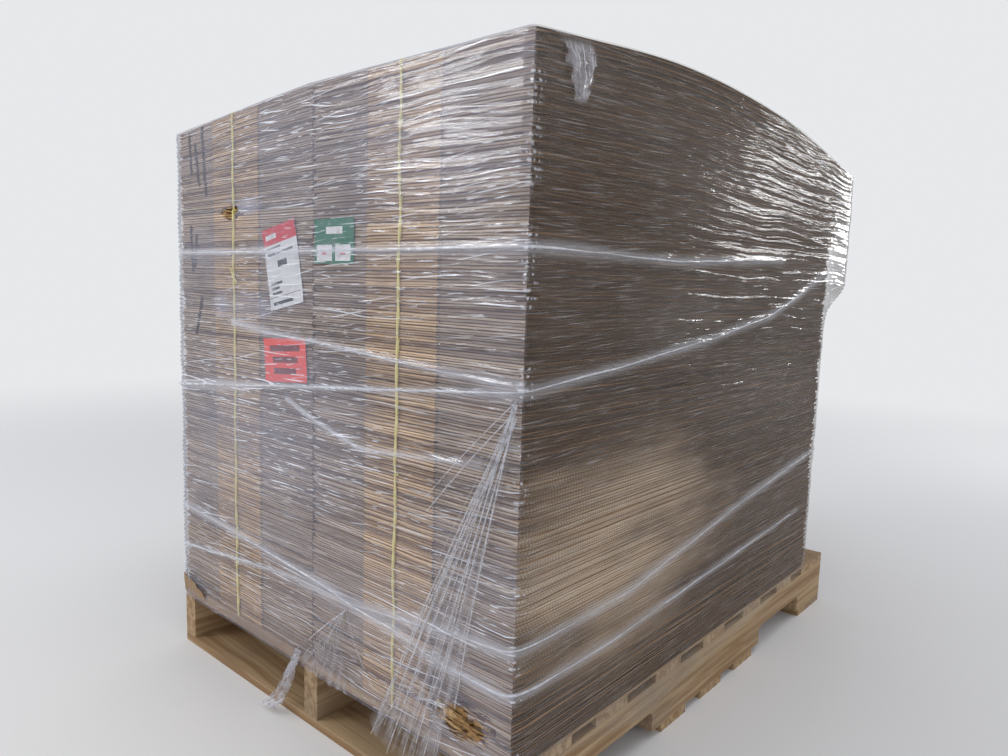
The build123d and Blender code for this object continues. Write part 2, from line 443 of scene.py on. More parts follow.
def shapeBundle(bundle, tier, side):
    # spreads the unit pile over its bundle: uneven board edges, flap slots, thickness and sag
    low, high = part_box(f"bundle_tier_{tier + 1}_{side}")
    seed = 100 + 10 * tier + (side == "left")
    rng = np.random.default_rng(seed)
    points = readPoints(bundle)
    level = points[:, 2]
    outline = points[:, :2] * 2

    # columns of the end are moved onto the flap slots
    columnPlaces = np.linspace(low.x, high.x, stack["endColumns"] + 1)
    slots = [high.x - place for place in stack["slotPlaces"]]
    slotColumns = []
    for slot in slots:
        middle = int(np.argmin(np.abs(columnPlaces - slot)))
        for step in (-1, 0, 1):
            columnPlaces[middle + step] = slot + step * stack["slotHalf"] * mm
        slotColumns.append(middle)
    column = np.round((points[:, 0] + 0.5) * stack["endColumns"]).astype(int)
    x = columnPlaces[column]
    y = low.y + (points[:, 1] + 0.5) * (high.y - low.y)

    # uneven box thickness, and boards that bow a little
    shares = 1 + rng.uniform(-1, 1, stack["boxes"]) * stack["thickness"]
    edges = np.concatenate([[0], np.cumsum(shares)]) / shares.sum()
    share = np.interp(level, np.arange(stack["boxes"] + 1), edges)
    box = np.clip(np.floor(level + 1e-4), 0, stack["boxes"] - 1)
    board = np.floor(level * 2 + 1e-3)
    topZ = topAt(x, y) if tier == tierCount - 1 else high.z
    z = low.z + share * (topZ - low.z)
    inside = np.clip(np.minimum(share, 1 - share) * 4, 0, 1)
    bow = 0.6 * softNoise(x / 0.09 + 7 * box, y / 0.16 + 3.3 * box, seed)
    bow += 0.25 * softNoise(x / 0.03 + 5 * board, y / 0.05, seed + 1)
    z += bow * stack["waviness"] * mm * inside

    # how far each board's edge lies back
    inset = np.zeros(len(points))
    inBox = level - box
    for place, back in zip(stack["boxLevels"], stack["boxInsets"]):
        inset[np.abs(inBox - place) < 0.01] = back
    perBoard = rng.uniform(0, 1, 2 * stack["boxes"] + 2) ** 2.5
    board = board.astype(int)
    uneven = np.abs(softNoise(x / 0.07 + 11 * board, y / 0.12 + 5 * board, seed + 2))
    ragged = 0.6 * perBoard[board] + 0.4 * uneven
    bulk = 0.5 + 0.5 * softNoise(x / 0.25, y / 0.4 + 4.65, seed + 3)
    inset += stack["raggedEdge"] * (0.75 * ragged + 0.25 * bulk)
    onLeft, onFront = (np.abs(outline + 1) < 1e-4).T
    onRight, onBack = (np.abs(outline - 1) < 1e-4).T
    outer = (x > slots[0]) | (x < slots[1])
    inset[onFront & outer] += stack["outerFlapBack"]
    for middle in slotColumns:
        inset[onFront & (column == middle)] = stack["slotDepth"]
    # boards torn away where the film has a hole
    torn = np.zeros(len(points))
    for across, up, halfAcross, halfUp in tears["places"]:
        away = np.hypot((x - halfWidth - across) / halfAcross, (z - loadBase - up) / halfUp)
        away += 0.75 * softNoise(board * 3.1, x / 0.009, 17)
        torn = np.maximum(torn, (1 - ease(away, 0.6, 1.15)) * onFront)
    inset += torn * tears["depth"] * (0.45 + 0.55 * perBoard[board])
    fromCorner = np.minimum(np.abs(x - low.x), np.abs(x - high.x)) + np.minimum(y - low.y, high.y - y)
    inset += stack["cornerRagged"] * (1 - ease(fromCorner, 0.004, 0.024)) * perBoard[::-1][board]
    y[onFront] += inset[onFront] * mm
    y[onBack] -= inset[onBack] * mm
    x[onLeft] += inset[onLeft] * mm * (stack["jointShare"] if side == "right" else 1)
    x[onRight] -= inset[onRight] * mm * (stack["jointShare"] if side == "left" else 1)
    writePoints(bundle, np.stack([x, y, z], 1))
    addAttribute(bundle, "boxLevel", level + seed * 40)
    addAttribute(bundle, "middleFlap", (x < slots[0]) & (x > slots[1]) & onFront)
    addAttribute(bundle, "torn", torn)


def strokeGroup():
    # 1 within a pen's half width of a straight stroke
    tree, given, put = newGroup(
        "pen_stroke",
        {"Place": "Vector", "Start": "Vector", "Run": "Vector"},
        {"Mark": "Float"},
    )
    fromStart = vectorMath(tree, "SUBTRACT", given["Place"], given["Start"])
    along = vectorMath(tree, "DOT_PRODUCT", fromStart, given["Run"])
    full = vectorMath(tree, "DOT_PRODUCT", given["Run"], given["Run"])
    share = calc("DIVIDE", tree, along, full, clamp=True)
    nearest = vectorMath(tree, "MULTIPLY", given["Run"], fromAxes(tree, share, share, share))
    away = vectorMath(tree, "DISTANCE", fromStart, nearest)
    tree.links.new(spread(tree, away, *stack["penEdge"]), put["Mark"])
    return tree


def cutBoardMaterial():
    material, tree, bsdf = newMaterial("cut_board")
    place = objectPlace(tree)
    axes = axesOf(tree, place)
    level = attribute(tree, "boxLevel")
    facing = axesOf(tree, addNode(tree, "ShaderNodeNewGeometry").outputs["True Normal"])
    inBoards = times(tree, level, 2.0)
    fromMiddle = absolute(tree, minus(tree, fraction(tree, inBoards), 0.5))

    # one tone for each board, one for each few boards, and long stains
    perBoard = chance(tree, whole(tree, inBoards))
    perBox = addNode(tree, "ShaderNodeTexNoise", {"W": level, "Scale": 0.45, "Detail": 2.0},
                     noise_dimensions="1D").outputs["Fac"]
    stain = noiseAt(tree, place, 5.0, stretch=(1, 0.6, 2.2))
    streak = noiseAt(tree, place, 26.0, detail=2.0, stretch=(1, 1, 9))
    tone = plus(tree, times(tree, perBoard, 0.55), spread(tree, perBox, 0.35, 0.65, 0.0, 0.4))
    tone = plus(tree, tone, timesPlus(tree, streak, 0.7, -0.22), clamp=True)

    # the labelled end: dusty outer flaps and a cleaner middle flap
    dusty = mixColour(tree, tone, rgb(82, 70, 62), rgb(206, 187, 167))
    clean = mixColour(tree, tone, rgb(98, 71, 51), rgb(244, 210, 168))
    front = mixColour(tree, attribute(tree, "middleFlap"), dusty, clean)
    # the long sides: darker, with the open flutes painted as shaded holes and painted shade on the side
    # turned from the light, and a painted pool of light low on the right side
    tone = spread(tree, tone, 0.0, 1.0, 0.15, 0.85, kind="LINEAR")
    # painted shade: the long sides take a darker tone, partly for their open flute ends and partly as shade
    # on sides turned from the light
    sideLightAndShadeTone = mixColour(tree, tone, rgb(36, 29, 24), rgb(94, 74, 58))
    # painted light: a lighter, warmer patch low on the right side, where the flute holes are also painted
    # less dark
    away = reachFrom(tree, place, stack["paintedLightPatch"], stack["paintedLightStretch"])
    away = timesPlus(tree, minus(tree, stain, 0.5), 1.6, away)
    paintedLight = spread(tree, away, 1.3, 0.15, 0.0, 0.86)
    litPatchTone = mixColour(tree, tone, rgb(186, 158, 128), rgb(238, 214, 184))
    sideLightAndShadeTone = mixColour(tree, paintedLight, sideLightAndShadeTone, litPatchTone)
    # painted shade: the open flute ends are painted as dark holes along each board
    drift = noiseAt(tree, place, 9.0, detail=1.0)
    phase = timesPlus(tree, axes[1], 2 * math.pi / stack["flutePitch"], times(tree, perBoard, 40.0))
    wave = calc("SINE", tree, timesPlus(tree, drift, 30.0, phase))
    fluteShade = times(tree, spread(tree, wave, -0.7, 0.9), spread(tree, fromMiddle, 0.42, 0.22))
    fluteShade = times(tree, fluteShade, timesPlus(tree, paintedLight, -0.35, 0.6))
    solid = minus(tree, 1.0, fluteShade)
    sideColour = mixColour(tree, solid, rgb(24, 17, 13), sideLightAndShadeTone)
    outward = spread(tree, absolute(tree, axes[0]), halfWidth - 0.030, halfWidth - 0.020)
    onSide = times(tree, spread(tree, absolute(tree, facing[0]), 0.5, 0.8), outward)
    colour = mixColour(tree, onSide, front, sideColour)
    # flat board seen on top
    kraft = mixColour(tree, noiseAt(tree, place, 3.0, detail=1.0), rgb(150, 118, 88), rgb(178, 144, 110))
    # its flaps: scored lines across both ends and the slots between the flaps, both painted darker as the
    # shade inside them
    fromEdge = minus(tree, times(tree, above(tree, axes[0], 0.0), halfWidth), axes[0])
    fromScore = smaller(tree, minus(tree, axes[1], frontFace), minus(tree, topBack, axes[1]))
    fromScore = minus(tree, fromScore, stack["flapDepth"])
    scoreShade = spread(tree, absolute(tree, fromScore), 0.0030, 0.0008)
    kraft = mixColour(tree, times(tree, scoreShade, 0.4), kraft, rgb(108, 82, 58))
    # painted shade: each slot is a near black line
    for slot in stack["slotPlaces"]:
        away = absolute(tree, minus(tree, fromEdge, slot))
        slotShade = times(tree, spread(tree, away, 0.0026, 0.0018), below(tree, fromScore, 0.0))
        kraft = mixColour(tree, times(tree, slotShade, 0.9), kraft, rgb(34, 24, 18))
    onTop = spread(tree, absolute(tree, facing[2]), 0.6, 0.85)
    colour = mixColour(tree, onTop, colour, kraft)
    # painted shade in the gaps between boards, darker between boxes
    fromBox = absolute(tree, minus(tree, fraction(tree, level), 0.5))
    boardGapShade = times(tree, spread(tree, fromMiddle, 0.36, 0.5), 0.5)
    gapShade = larger(tree, boardGapShade, spread(tree, fromBox, 0.34, 0.45))
    gapShade = times(tree, gapShade, minus(tree, 1.0, onTop))
    gapShade = times(tree, gapShade, timesPlus(tree, onSide, -0.45, 1.0))
    colour = mixColour(tree, times(tree, gapShade, 0.85), colour, rgb(26, 17, 12))
    colour = mixColour(tree, times(tree, spread(tree, stain, 0.5, 0.75), 0.45), colour, rgb(84, 66, 54))
    fresh = mixColour(tree, streak, rgb(88, 60, 36), rgb(204, 164, 110))
    colour = mixColour(tree, spread(tree, attribute(tree, "torn"), 0.1, 0.6), colour, fresh)
    # marks of a broad pen, as plain strokes
    flat = vectorMath(tree, "SUBTRACT", fromAxes(tree, axes[0], axes[2]), (halfWidth, loadBase, 0))
    penGroup = strokeGroup()
    strokes = 0.0
    for start, end in stack["penStrokes"]:
        run = (end[0] - start[0], end[1] - start[1], 0)
        stroke = useGroup(tree, penGroup, {"Place": flat, "Start": (*start, 0), "Run": run})["Mark"]
        strokes = larger(tree, stroke, strokes)
    strokes = times(tree, strokes, times(tree, spread(tree, facing[1], -0.2, -0.4), 0.85))
    colour = mixColour(tree, strokes, colour, rgb(34, 30, 34))
    setInputs(tree, bsdf, {"Base Color": colour, "Roughness": 0.85, "Specular IOR Level": 0.25})
    height = plus(tree, times(tree, solid, onSide), noiseAt(tree, place, 300.0, detail=1.0))
    bumpInto(tree, bsdf, height, 0.6 * mm, 0.7)
    return material


def buildBundles():
    board = cutBoardMaterial()
    pile = modelBoxStack()
    for tier in range(tierCount):
        for side in ("left", "right"):
            bundle = copyPiece(pile, f"boxes_tier_{tier + 1}_{side}")
            shapeBundle(bundle, tier, side)
            giveMaterial(bundle, board)
            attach(bundle, "root")
            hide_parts(f"bundle_tier_{tier + 1}_{side}")
    bpy.data.objects.remove(pile)


buildBundles()
print("bundles of flat boxes made")


# Stretch film, wrapped round the load. Its own map runs along the wrap: 0 at the near corner,
# over 0 along the right side, under 0 along the labelled end, and upwards in height.

film = {  # lengths in mm unless noted
    "offset": 1.8,
    "endGap": 1.5,  # how much further the film stands off both ends
    "cornerRadius": 11.0,
    "edgeRadius": 5.0,
    "topLap": 88.0,
    "columns": {"back": 22, "corner": 4, "right": 84, "front": 98, "left": 48},
    "wallRows": 300,
    "edgeRows": 4,
    "lapRows": 14,
    "hangZ": 0.815,  # m, the height down to which it hangs from the overhanging boxes
    "tuckZ": 0.736,  # m, the height where it meets the boxes below them
    # lower edge in m: distance from the labelled end, height over the load's base
    "hem": (
        (0.0, -0.020), (0.115, -0.023), (0.330, -0.062),
        (0.740, -0.036), (0.952, -0.016), (1.219, 0.001),
    ),
    "wrinkle": 1.3,
    "looseDepth": 5.0,
    "boardPitch": 0.0092,  # m between the boards that show through at the corners
    "cornerBite": 2.6,
    "foldStrength": (1.4, 1.0, 1.5, 0.9, 1.1, 0.6),
    # taut folds of the film in m: points as (distance from the near corner, height over the load's base)
    "folds": (
        ((-0.897, 0.696), (-0.238, 0.697), (0.003, 0.700), (0.383, 0.698), (0.80, 0.72)),
        ((-0.694, 0.569), (-0.586, 0.557), (-0.396, 0.549), (-0.238, 0.537), (-0.080, 0.530),
         (-0.004, 0.526)),
        ((-0.913, 0.431), (-0.420, 0.479), (-0.240, 0.495), (-0.020, 0.517), (0.033, 0.522),
         (0.259, 0.543), (0.523, 0.573), (0.758, 0.608), (0.896, 0.647), (1.05, 0.70)),
        ((-0.907, 0.093), (-0.703, 0.117), (-0.480, 0.136), (-0.344, 0.137), (-0.244, 0.148),
         (-0.097, 0.167), (-0.001, 0.174), (0.271, 0.179), (0.691, 0.243), (1.110, 0.293)),
        ((-0.903, 0.180), (-0.702, 0.168), (-0.543, 0.156), (-0.413, 0.147), (-0.337, 0.135),
         (-0.237, 0.130), (-0.136, 0.114), (-0.003, 0.112), (0.223, 0.112), (0.567, 0.133), (1.0, 0.16)),
        ((-0.518, 0.447), (-0.436, 0.421), (-0.315, 0.394), (-0.220, 0.402), (-0.063, 0.416)),
    ),
    "foldWidth": 4.0,
    "foldHeight": 3.2,
    # milky places, partly the film's own haze and partly painted glare: in m, centre on the wrap's map, half
    # width, half height; then opacity
    "haze": (
        (-0.62, 0.38, 0.34, 0.17, 0.17),
        (-0.22, 0.87, 0.30, 0.15, 0.16),
        (-0.55, 0.88, 0.30, 0.20, 0.10),
        (-0.66, 0.60, 0.12, 0.05, 0.20),
        (-0.78, 0.70, 0.10, 0.06, 0.12),
        (-0.64, 0.775, 0.06, 0.02, 0.40),
        (-0.735, 0.600, 0.04, 0.035, 0.34),
        (-0.60, 0.600, 0.05, 0.03, 0.28),
        (0.42, 0.60, 0.22, 0.09, 0.14),
        (0.06, 0.93, 0.16, 0.06, 0.14),
        (0.75, 0.45, 0.30, 0.10, 0.10),
        (0.60, 0.85, 0.30, 0.10, 0.10),
        (1.16, 0.74, 0.12, 0.12, 0.40),
    ),
}


def filmBack(z):
    # the film hangs from the top boxes' far end, then goes in under their overhang
    top = topBack + film["offset"] * mm + film["endGap"] * mm
    low = lowerBack + film["offset"] * mm + film["endGap"] * mm
    return low + (top - low) * ease(z, film["tuckZ"], film["hangZ"])


def outlinePoint(part, share, halfX, front, back, radius):
    # place and outward direction at a share of one part of the film's outline
    corners = {
        "cornerBackRight": (halfX - radius, back - radius, 90),
        "cornerFrontRight": (halfX - radius, front + radius, 0),
        "cornerFrontLeft": (-halfX + radius, front + radius, -90),
        "cornerBackLeft": (-halfX + radius, back - radius, 180),
    }
    if part in corners:
        x, y, start = corners[part]
        angle = np.radians(start - 90 * share)
        return x + radius * np.cos(angle), y + radius * np.sin(angle), np.cos(angle), np.sin(angle)
    zero = np.zeros_like(share)
    if part == "backRight":
        return share * (halfX - radius), back + zero, zero, zero + 1
    if part == "right":
        return halfX + zero, back - radius + share * (front - back + 2 * radius), zero + 1, zero
    if part == "front":
        return (halfX - radius) * (1 - 2 * share), front + zero, zero, zero - 1
    if part == "left":
        return -halfX + zero, front + radius + share * (back - front - 2 * radius), zero - 1, zero
    return (radius - halfX) * (1 - share), back + zero, zero, zero + 1


# the parts of the film's outline in their order, and what their columns are counted by
filmParts = (
    ("backRight", "back"),
    ("cornerBackRight", "corner"),
    ("right", "right"),
    ("cornerFrontRight", "corner"),
    ("front", "front"),
    ("cornerFrontLeft", "corner"),
    ("left", "left"),
    ("cornerBackLeft", "corner"),
    ("backLeft", "back"),
)


def partOfColumn(column):
    # which part of the outline a point is on, and its share along that part
    partOf = np.zeros(len(column), int)
    share = np.zeros(len(column))
    start = 0
    for number, (_, kind) in enumerate(filmParts):
        count = film["columns"][kind]
        here = (column >= start) & (column <= start + count)
        partOf[here] = number
        share[here] = (column[here] - start) / count
        start += count
    return partOf, share


def placeOutline(partOf, share, halfX, front, back, radius):
    placed = np.zeros((4, len(share)))
    for number, (part, _) in enumerate(filmParts):
        here = partOf == number
        placed[:, here] = outlinePoint(part, share[here], halfX[here], front[here], back[here], radius[here])
    return placed


def alongWrap(x, y, nx, ny):
    # distance along the wrap from the near corner, by the side that a point is on
    length = topBack - frontFace
    sides = (
        ((ny > 0.7) & (x < 0), -2 * halfWidth - length - halfWidth - x),
        (ny > 0.7, length + halfWidth - x),
        (nx < -0.7, -2 * halfWidth - (y - frontFace)),
        (ny < -0.7, x - halfWidth),
        (nx > 0.7, y - frontFace),
    )
    return np.select(*zip(*sides))


def foldHeights(across, up):
    # a narrow ridge along each taut fold, on a low broad one
    ridge = np.zeros_like(across)
    width = film["foldWidth"] * mm
    for fold in film["folds"]:
        nearest = np.full_like(across, 1.0)
        for (startU, startV), (endU, endV) in zip(fold, fold[1:]):
            run = np.array([endU - startU, endV - startV])
            t = np.clip(((across - startU) * run[0] + (up - startV) * run[1]) / (run @ run), 0, 1)
            away = np.hypot(across - startU - t * run[0], up - startV - t * run[1])
            nearest = np.minimum(nearest, away)
        ridge = np.maximum(ridge, np.exp(-(nearest / width) ** 2))
        ridge = np.maximum(ridge, 0.3 * np.exp(-(nearest / (3 * width)) ** 2))
    return ridge


def hazeOver(sheet, across, up, folded):
    # how milky the film is, with painted glare in some milky spots, how milky its folded bands are, and how
    # strongly its fine creases show
    cloud = 0
    for k in range(4):
        cloud += 0.19 * 0.6 ** k * softNoise(across * 2.6 * 2 ** k, up * 7.8 * 2 ** k, 51 + k)
    onSide = (across > 0) & (across < 1.1)
    # milky spots, some of them painted glare
    hazeAndGlare = 0
    for atAcross, atUp, halfAcross, halfUp, power in film["haze"]:
        away = np.hypot((across - atAcross) / halfAcross, (up - atUp) / halfUp) + 1.8 * cloud
        hazeAndGlare = np.maximum(hazeAndGlare, power * (1 - ease(away, 0.3, 1.1)))
    band = 0.22 * ease(folded + 0.5 * cloud, 0.05, 0.34)
    haze = 0.07 + 0.13 * ease(cloud, -0.22, 0.22) + hazeAndGlare
    addAttribute(sheet, "band", band)
    addAttribute(sheet, "haze", haze * (1 - 0.55 * onSide) + band)
    patchy = 0.35 + 0.65 * ease(softNoise(across * 5, up * 9, 57), -0.8, 0.4)
    addAttribute(sheet, "creased", patchy * np.where(onSide, 0.25, 1.0))


def stretchedWrinkles(across, up):
    # narrow ridges run along the wrap, where a stretched noise is near 0, over broader waves
    ridges = (1 - np.abs(softNoise(across / 0.22 + up * 3, up / 0.030, 31))) ** 4
    ridges += 0.5 * (1 - np.abs(softNoise(across / 0.10 - up * 5, up / 0.016, 32))) ** 4
    return ridges + 0.8 * softNoise(across / 0.30 + up * 2, up / 0.07, 33) + 0.8


def wrapFilm():
    columns = sum(film["columns"][kind] for _, kind in filmParts)
    rows = film["wallRows"] + film["edgeRows"] + film["lapRows"]
    sheet, across, up = newGrid("stretch_wrap", columns, rows)
    row = np.round(up * rows).astype(int)
    partOf, share = partOfColumn(np.round(across * columns).astype(int))
    place = partial(placeOutline, partOf, share)

    offset = film["offset"] * mm
    edgeRadius = film["edgeRadius"] * mm
    sideX = np.full(len(row), halfWidth + offset)
    frontY = np.full(len(row), frontFace - film["endGap"] * mm - offset)
    topY = np.full(len(row), topBack + film["endGap"] * mm + offset)
    corner = np.full(len(row), film["cornerRadius"] * mm)

    # first where the wall's top runs, then each row's height and the far end's place at that height
    x, y, nx, ny = place(sideX, frontY, topY, corner)
    roundTop = topAt(x, y) + offset
    wallShare = np.clip(row / film["wallRows"], 0, 1)

    def wallHeights(y):
        hem = loadBase + np.interp(y - frontFace, *zip(*film["hem"]))
        return hem + (roundTop - edgeRadius - hem) * wallShare

    back = filmBack(wallHeights(y))
    x, y, nx, ny = place(sideX, frontY, back, corner)
    z = wallHeights(y)
    wrapU = alongWrap(x, y, nx, ny)

    # round the upper edge, and in over the top with an uneven inner edge
    turn = np.clip((row - film["wallRows"]) / film["edgeRows"], 0, 1) * math.pi / 2
    inLap = np.clip((row - film["wallRows"] - film["edgeRows"]) / film["lapRows"], 0, 1)
    uneven = 0.78 + 0.17 * softNoise(x / 0.15, y / 0.15, 37) + 0.05 * softNoise(x / 0.03, y / 0.03, 38)
    lap = inLap * uneven * film["topLap"] * mm
    inward = edgeRadius * (1 - np.cos(turn)) + lap
    tighter = np.maximum(corner - inward, 2 * mm)
    innerX, innerY, _, _ = place(sideX - inward, frontY + inward, back - inward, tighter)
    over = row > film["wallRows"]
    flat = lap > 0
    x = np.where(over, innerX, x)
    y = np.where(over, innerY, y)
    z = np.where(over, roundTop - edgeRadius + edgeRadius * np.sin(turn), z)
    gathers = 2.5 * mm * inLap * np.abs(softNoise(x / 0.035, y / 0.035, 39))
    z = np.where(flat, topAt(x, y) + offset + gathers, z)

    height = z - loadBase + lap
    wrinkle = film["wrinkle"] * mm * stretchedWrinkles(wrapU, height)
    # at the corners the film follows each board
    atCorner = np.isin(partOf, [number for number, (_, kind) in enumerate(filmParts) if kind == "corner"])
    phase = 2 * math.pi * height / film["boardPitch"] + 3 * softNoise(height / 0.06, wrapU * 3, 35)
    bite = 0.5 - 0.5 * np.cos(phase)
    wrinkle -= atCorner * (z < roundTop - 0.02) * film["cornerBite"] * mm * bite
    # painted glints on the film over each board's tip at the corners
    glintPatches = ease(softNoise(height / 0.021, partOf * 3.0, 36), -0.2, 0.5)
    addAttribute(sheet, "tipGlints", atCorner * (1 - bite) ** 3 * glintPatches)
    # it is loose under the overhang
    loose = ease(z, film["tuckZ"] - 0.05, film["tuckZ"] + 0.02) * (1 - ease(z, film["hangZ"], 0.90))
    loose *= ny > 0.5
    flutter = 1 + softNoise(wrapU / 0.03 + height * 9, height / 0.05, 34)
    wrinkle += loose * film["looseDepth"] * mm * flutter
    folded = foldHeights(wrapU, height)
    hazeOver(sheet, wrapU, height, folded)
    wrinkle += film["foldHeight"] * mm * folded
    out = np.where(flat, 0.0, wrinkle)
    lift = np.where(flat, np.abs(wrinkle) * 0.7, 0.0)
    writePoints(sheet, np.stack([x + nx * out, y + ny * out, z + lift], 1))
    writeUv(sheet, wrapU, height)
    mergePoints(sheet, 0.00001)
    smoothShade(sheet)
    return sheet


def creaseGroup():
    # thin creases that run along the first axis of a map in metres: a mask for painted highlights along them,
    # and a height
    tree, given, put = newGroup(
        "stretched_creases",
        {"Wrap": "Vector", "Tilt": "Float", "Shift": "Float"},
        {"CreaseGlints": "Float", "Ripples": "Float"},
    )
    turned = leaning(tree, given["Wrap"], given["Tilt"])
    axes = axesOf(tree, turned)
    drift = noiseAt(tree, turned, 1.0, detail=1.0, stretch=(4, 9, 3))
    up = timesPlus(tree, drift, 0.035, axes[1])
    lines, ridges = 0.0, 0.0
    for pitch, half, run, power in ((0.0079, 0.15, 0.034, 0.75), (0.0190, 0.075, 0.12, 1.0)):
        row = plus(tree, timesPlus(tree, up, 1 / pitch, 40.0), given["Shift"])
        index = whole(tree, row)
        jitter = chance(tree, index)
        along = timesPlus(tree, axes[0], 1 / run, times(tree, jitter, 57.0))
        spot = fromAxes(tree, along, times(tree, index, 3.7), given["Shift"])
        presence = noiseAt(tree, spot, 1.0, detail=1.0, roughness=0.5)
        present = spread(tree, presence, 0.50, 0.66)
        centre = timesPlus(tree, jitter, 0.4, 0.3)
        away = absolute(tree, minus(tree, fraction(tree, row), centre))
        width = timesPlus(tree, present, half, 0.0005)
        line = spread(tree, away, width, times(tree, width, 0.2))
        lines = larger(tree, times(tree, line, times(tree, present, power)), lines)
        ridge = times(tree, spread(tree, away, 0.5, 0.0), timesPlus(tree, presence, 1.5, -0.35))
        ridges = plus(tree, times(tree, ridge, pitch / 0.0079), ridges)
    tree.links.new(lines, put["CreaseGlints"])
    tree.links.new(ridges, put["Ripples"])
    return tree


def holeMask(tree, wrap):
    # 1 where the film is torn open, with a ragged rim
    mask = 0.0
    ragged = times(tree, minus(tree, noiseAt(tree, wrap, 60.0, detail=1.0), 0.5), 1.9)
    for across, up, halfAcross, halfUp in tears["places"]:
        away = reachFrom(tree, wrap, (across, up, 0), (1 / halfAcross, 1 / halfUp, 0))
        mask = larger(tree, spread(tree, plus(tree, away, ragged), 1.03, 0.97), mask)
    return mask


def filmMaterial(creases):
    material, tree, bsdf = newMaterial("stretch_film")
    wrap = wrapPlace(tree)
    across = axesOf(tree, wrap)[0]
    blend = 0.004
    farCorner = spread(tree, across, -2 * halfWidth - blend, -2 * halfWidth + blend)
    onEnd = times(tree, spread(tree, across, blend, -blend), farCorner)
    onSide = times(tree, spread(tree, across, -blend, blend), spread(tree, across, 1.15, 1.05))
    # painted highlights along the creases: plenty on the labelled end and few on the dark sides
    layers = [useGroup(tree, creases, {"Wrap": wrap, "Tilt": tilt, "Shift": shift})
              for tilt, shift in ((0.0, 0.0), (-0.12, 4.0))]
    lines = larger(tree, layers[0]["CreaseGlints"], times(tree, layers[1]["CreaseGlints"], 0.65))
    lines = times(tree, lines, attribute(tree, "creased"))
    # painted sheen: fine light streaks along the drawn film, most on the dark side
    sheenStreaks = noiseAt(tree, leaning(tree, wrap, -0.06), 1.0, detail=2.0, roughness=0.6, stretch=(13, 430, 1))
    sheenStreaks = times(tree, spread(tree, sheenStreaks, 0.50, 0.74), timesPlus(tree, onSide, 0.12, 0.22))
    lines = larger(tree, lines, sheenStreaks)
    # painted glints: the film is whiter and less clear where it is drawn over the tip of a board
    speck = noiseAt(tree, wrap, 1.0, detail=0.0, stretch=(200, 60, 1))
    tipGlints = times(tree, attribute(tree, "tipGlints"), spread(tree, speck, 0.45, 0.6))
    lines = larger(tree, lines, times(tree, tipGlints, 0.9))
    fresnel = addNode(tree, "ShaderNodeFresnel", {"IOR": 1.45}).outputs[0]
    # the haze holds painted glare in some places
    alpha = timesPlus(tree, lines, 0.66, attribute(tree, "haze"))
    # painted sheen: the film grows milkier at grazing angles, in place of its reflection
    sheen = times(tree, smaller(tree, fresnel, 0.4), timesPlus(tree, onSide, -0.5, 0.9))
    alpha = plus(tree, alpha, sheen, clamp=True)
    alpha = times(tree, alpha, minus(tree, 1.0, holeMask(tree, wrap)))
    milk = mixColour(tree, onEnd, rgb(150, 146, 142), rgb(158, 163, 188))
    # the painted crease highlights and the folded bands turn the film's colour white
    white = larger(tree, spread(tree, lines, 0.05, 0.5), times(tree, attribute(tree, "band"), 2.6))
    colour = mixColour(tree, white, milk, rgb(240, 244, 255))
    setInputs(tree, bsdf, {"Base Color": colour, "Alpha": alpha, "Roughness": 0.1, "IOR": 2.1})
    bumpInto(tree, bsdf, layers[0]["Ripples"], 0.9 * mm)
    return material


creases = creaseGroup()
clearFilm = filmMaterial(creases)
wrapSheet = wrapFilm()
giveMaterial(wrapSheet, clearFilm)
wrapSheet.visible_diffuse = False  # keeps renders short
wrapSheet.visible_glossy = False
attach(wrapSheet, "root")
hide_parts("stretch_film")
print("stretch film wrapped")


# Gathered film: taut ropes along the folds, a fan from the near corner, loose ends

ropes = {
    "lift": 1.5,  # mm over the film
    "foldRadius": 2.0,
    "sideThin": 0.6,  # the folds are thinner along the right side
    "fanRadius": 1.0,
    # fans in m: where one starts on the wrap's map, where its strands end, and its thin sheet's end line
    "fans": (
        {"start": (-0.007, 0.509), "spread": 0.012,
         "ends": ((-0.170, 0.348), (-0.165, 0.330), (-0.161, 0.222), (-0.175, 0.136), (-0.212, 0.054),
                  (-0.236, 0.000), (-0.265, -0.018), (-0.283, -0.060), (-0.245, -0.075), (-0.209, -0.067),
                  (-0.186, -0.056), (-0.144, 0.021), (-0.130, 0.086), (-0.112, 0.161), (-0.100, 0.060)),
         "sheet": ((-0.290, -0.030), (-0.270, -0.060), (-0.230, -0.068), (-0.190, -0.060),
                   (-0.150, -0.052), (-0.115, -0.030))},
        {"start": (-0.351, 0.131), "spread": 0.004,
         "ends": ((-0.480, -0.009), (-0.384, 0.036), (-0.450, 0.040), (-0.278, 0.015), (-0.430, 0.000)),
         "sheet": ((-0.486, -0.012), (-0.440, -0.020), (-0.390, -0.022), (-0.330, -0.018))},
    ),
    # down the tail in m: distance from the corner, height over the load's base, and off the labelled end
    "tail": (
        (-0.480, 0.004, 0.006),
        (-0.492, -0.025, 0.009),
        (-0.506, -0.058, 0.012),
        (-0.528, -0.094, 0.015),
        (-0.545, -0.116, 0.020),
        (-0.556, -0.120, 0.026),
    ),
    "tailWidth": (0.012, 0.036),
    # down the loose flap's left edge and its right edge, on the wrap's map
    "flapEdges": (
        ((0.034, 0.962), (0.057, 0.913), (0.075, 0.874)),
        ((0.112, 0.972), (0.117, 0.922), (0.096, 0.878)),
    ),
    "flapDepth": 9.0,
}


def onWrap(across, up, lift=0.0):
    # a point over the film, from its place on the wrap's map; lift in mm
    out = (film["offset"] + film["wrinkle"] + lift) * mm
    if across < 0:
        return (halfWidth + across, frontFace - film["endGap"] * mm - out, loadBase + up)
    return (halfWidth + out, frontFace + across, loadBase + up)


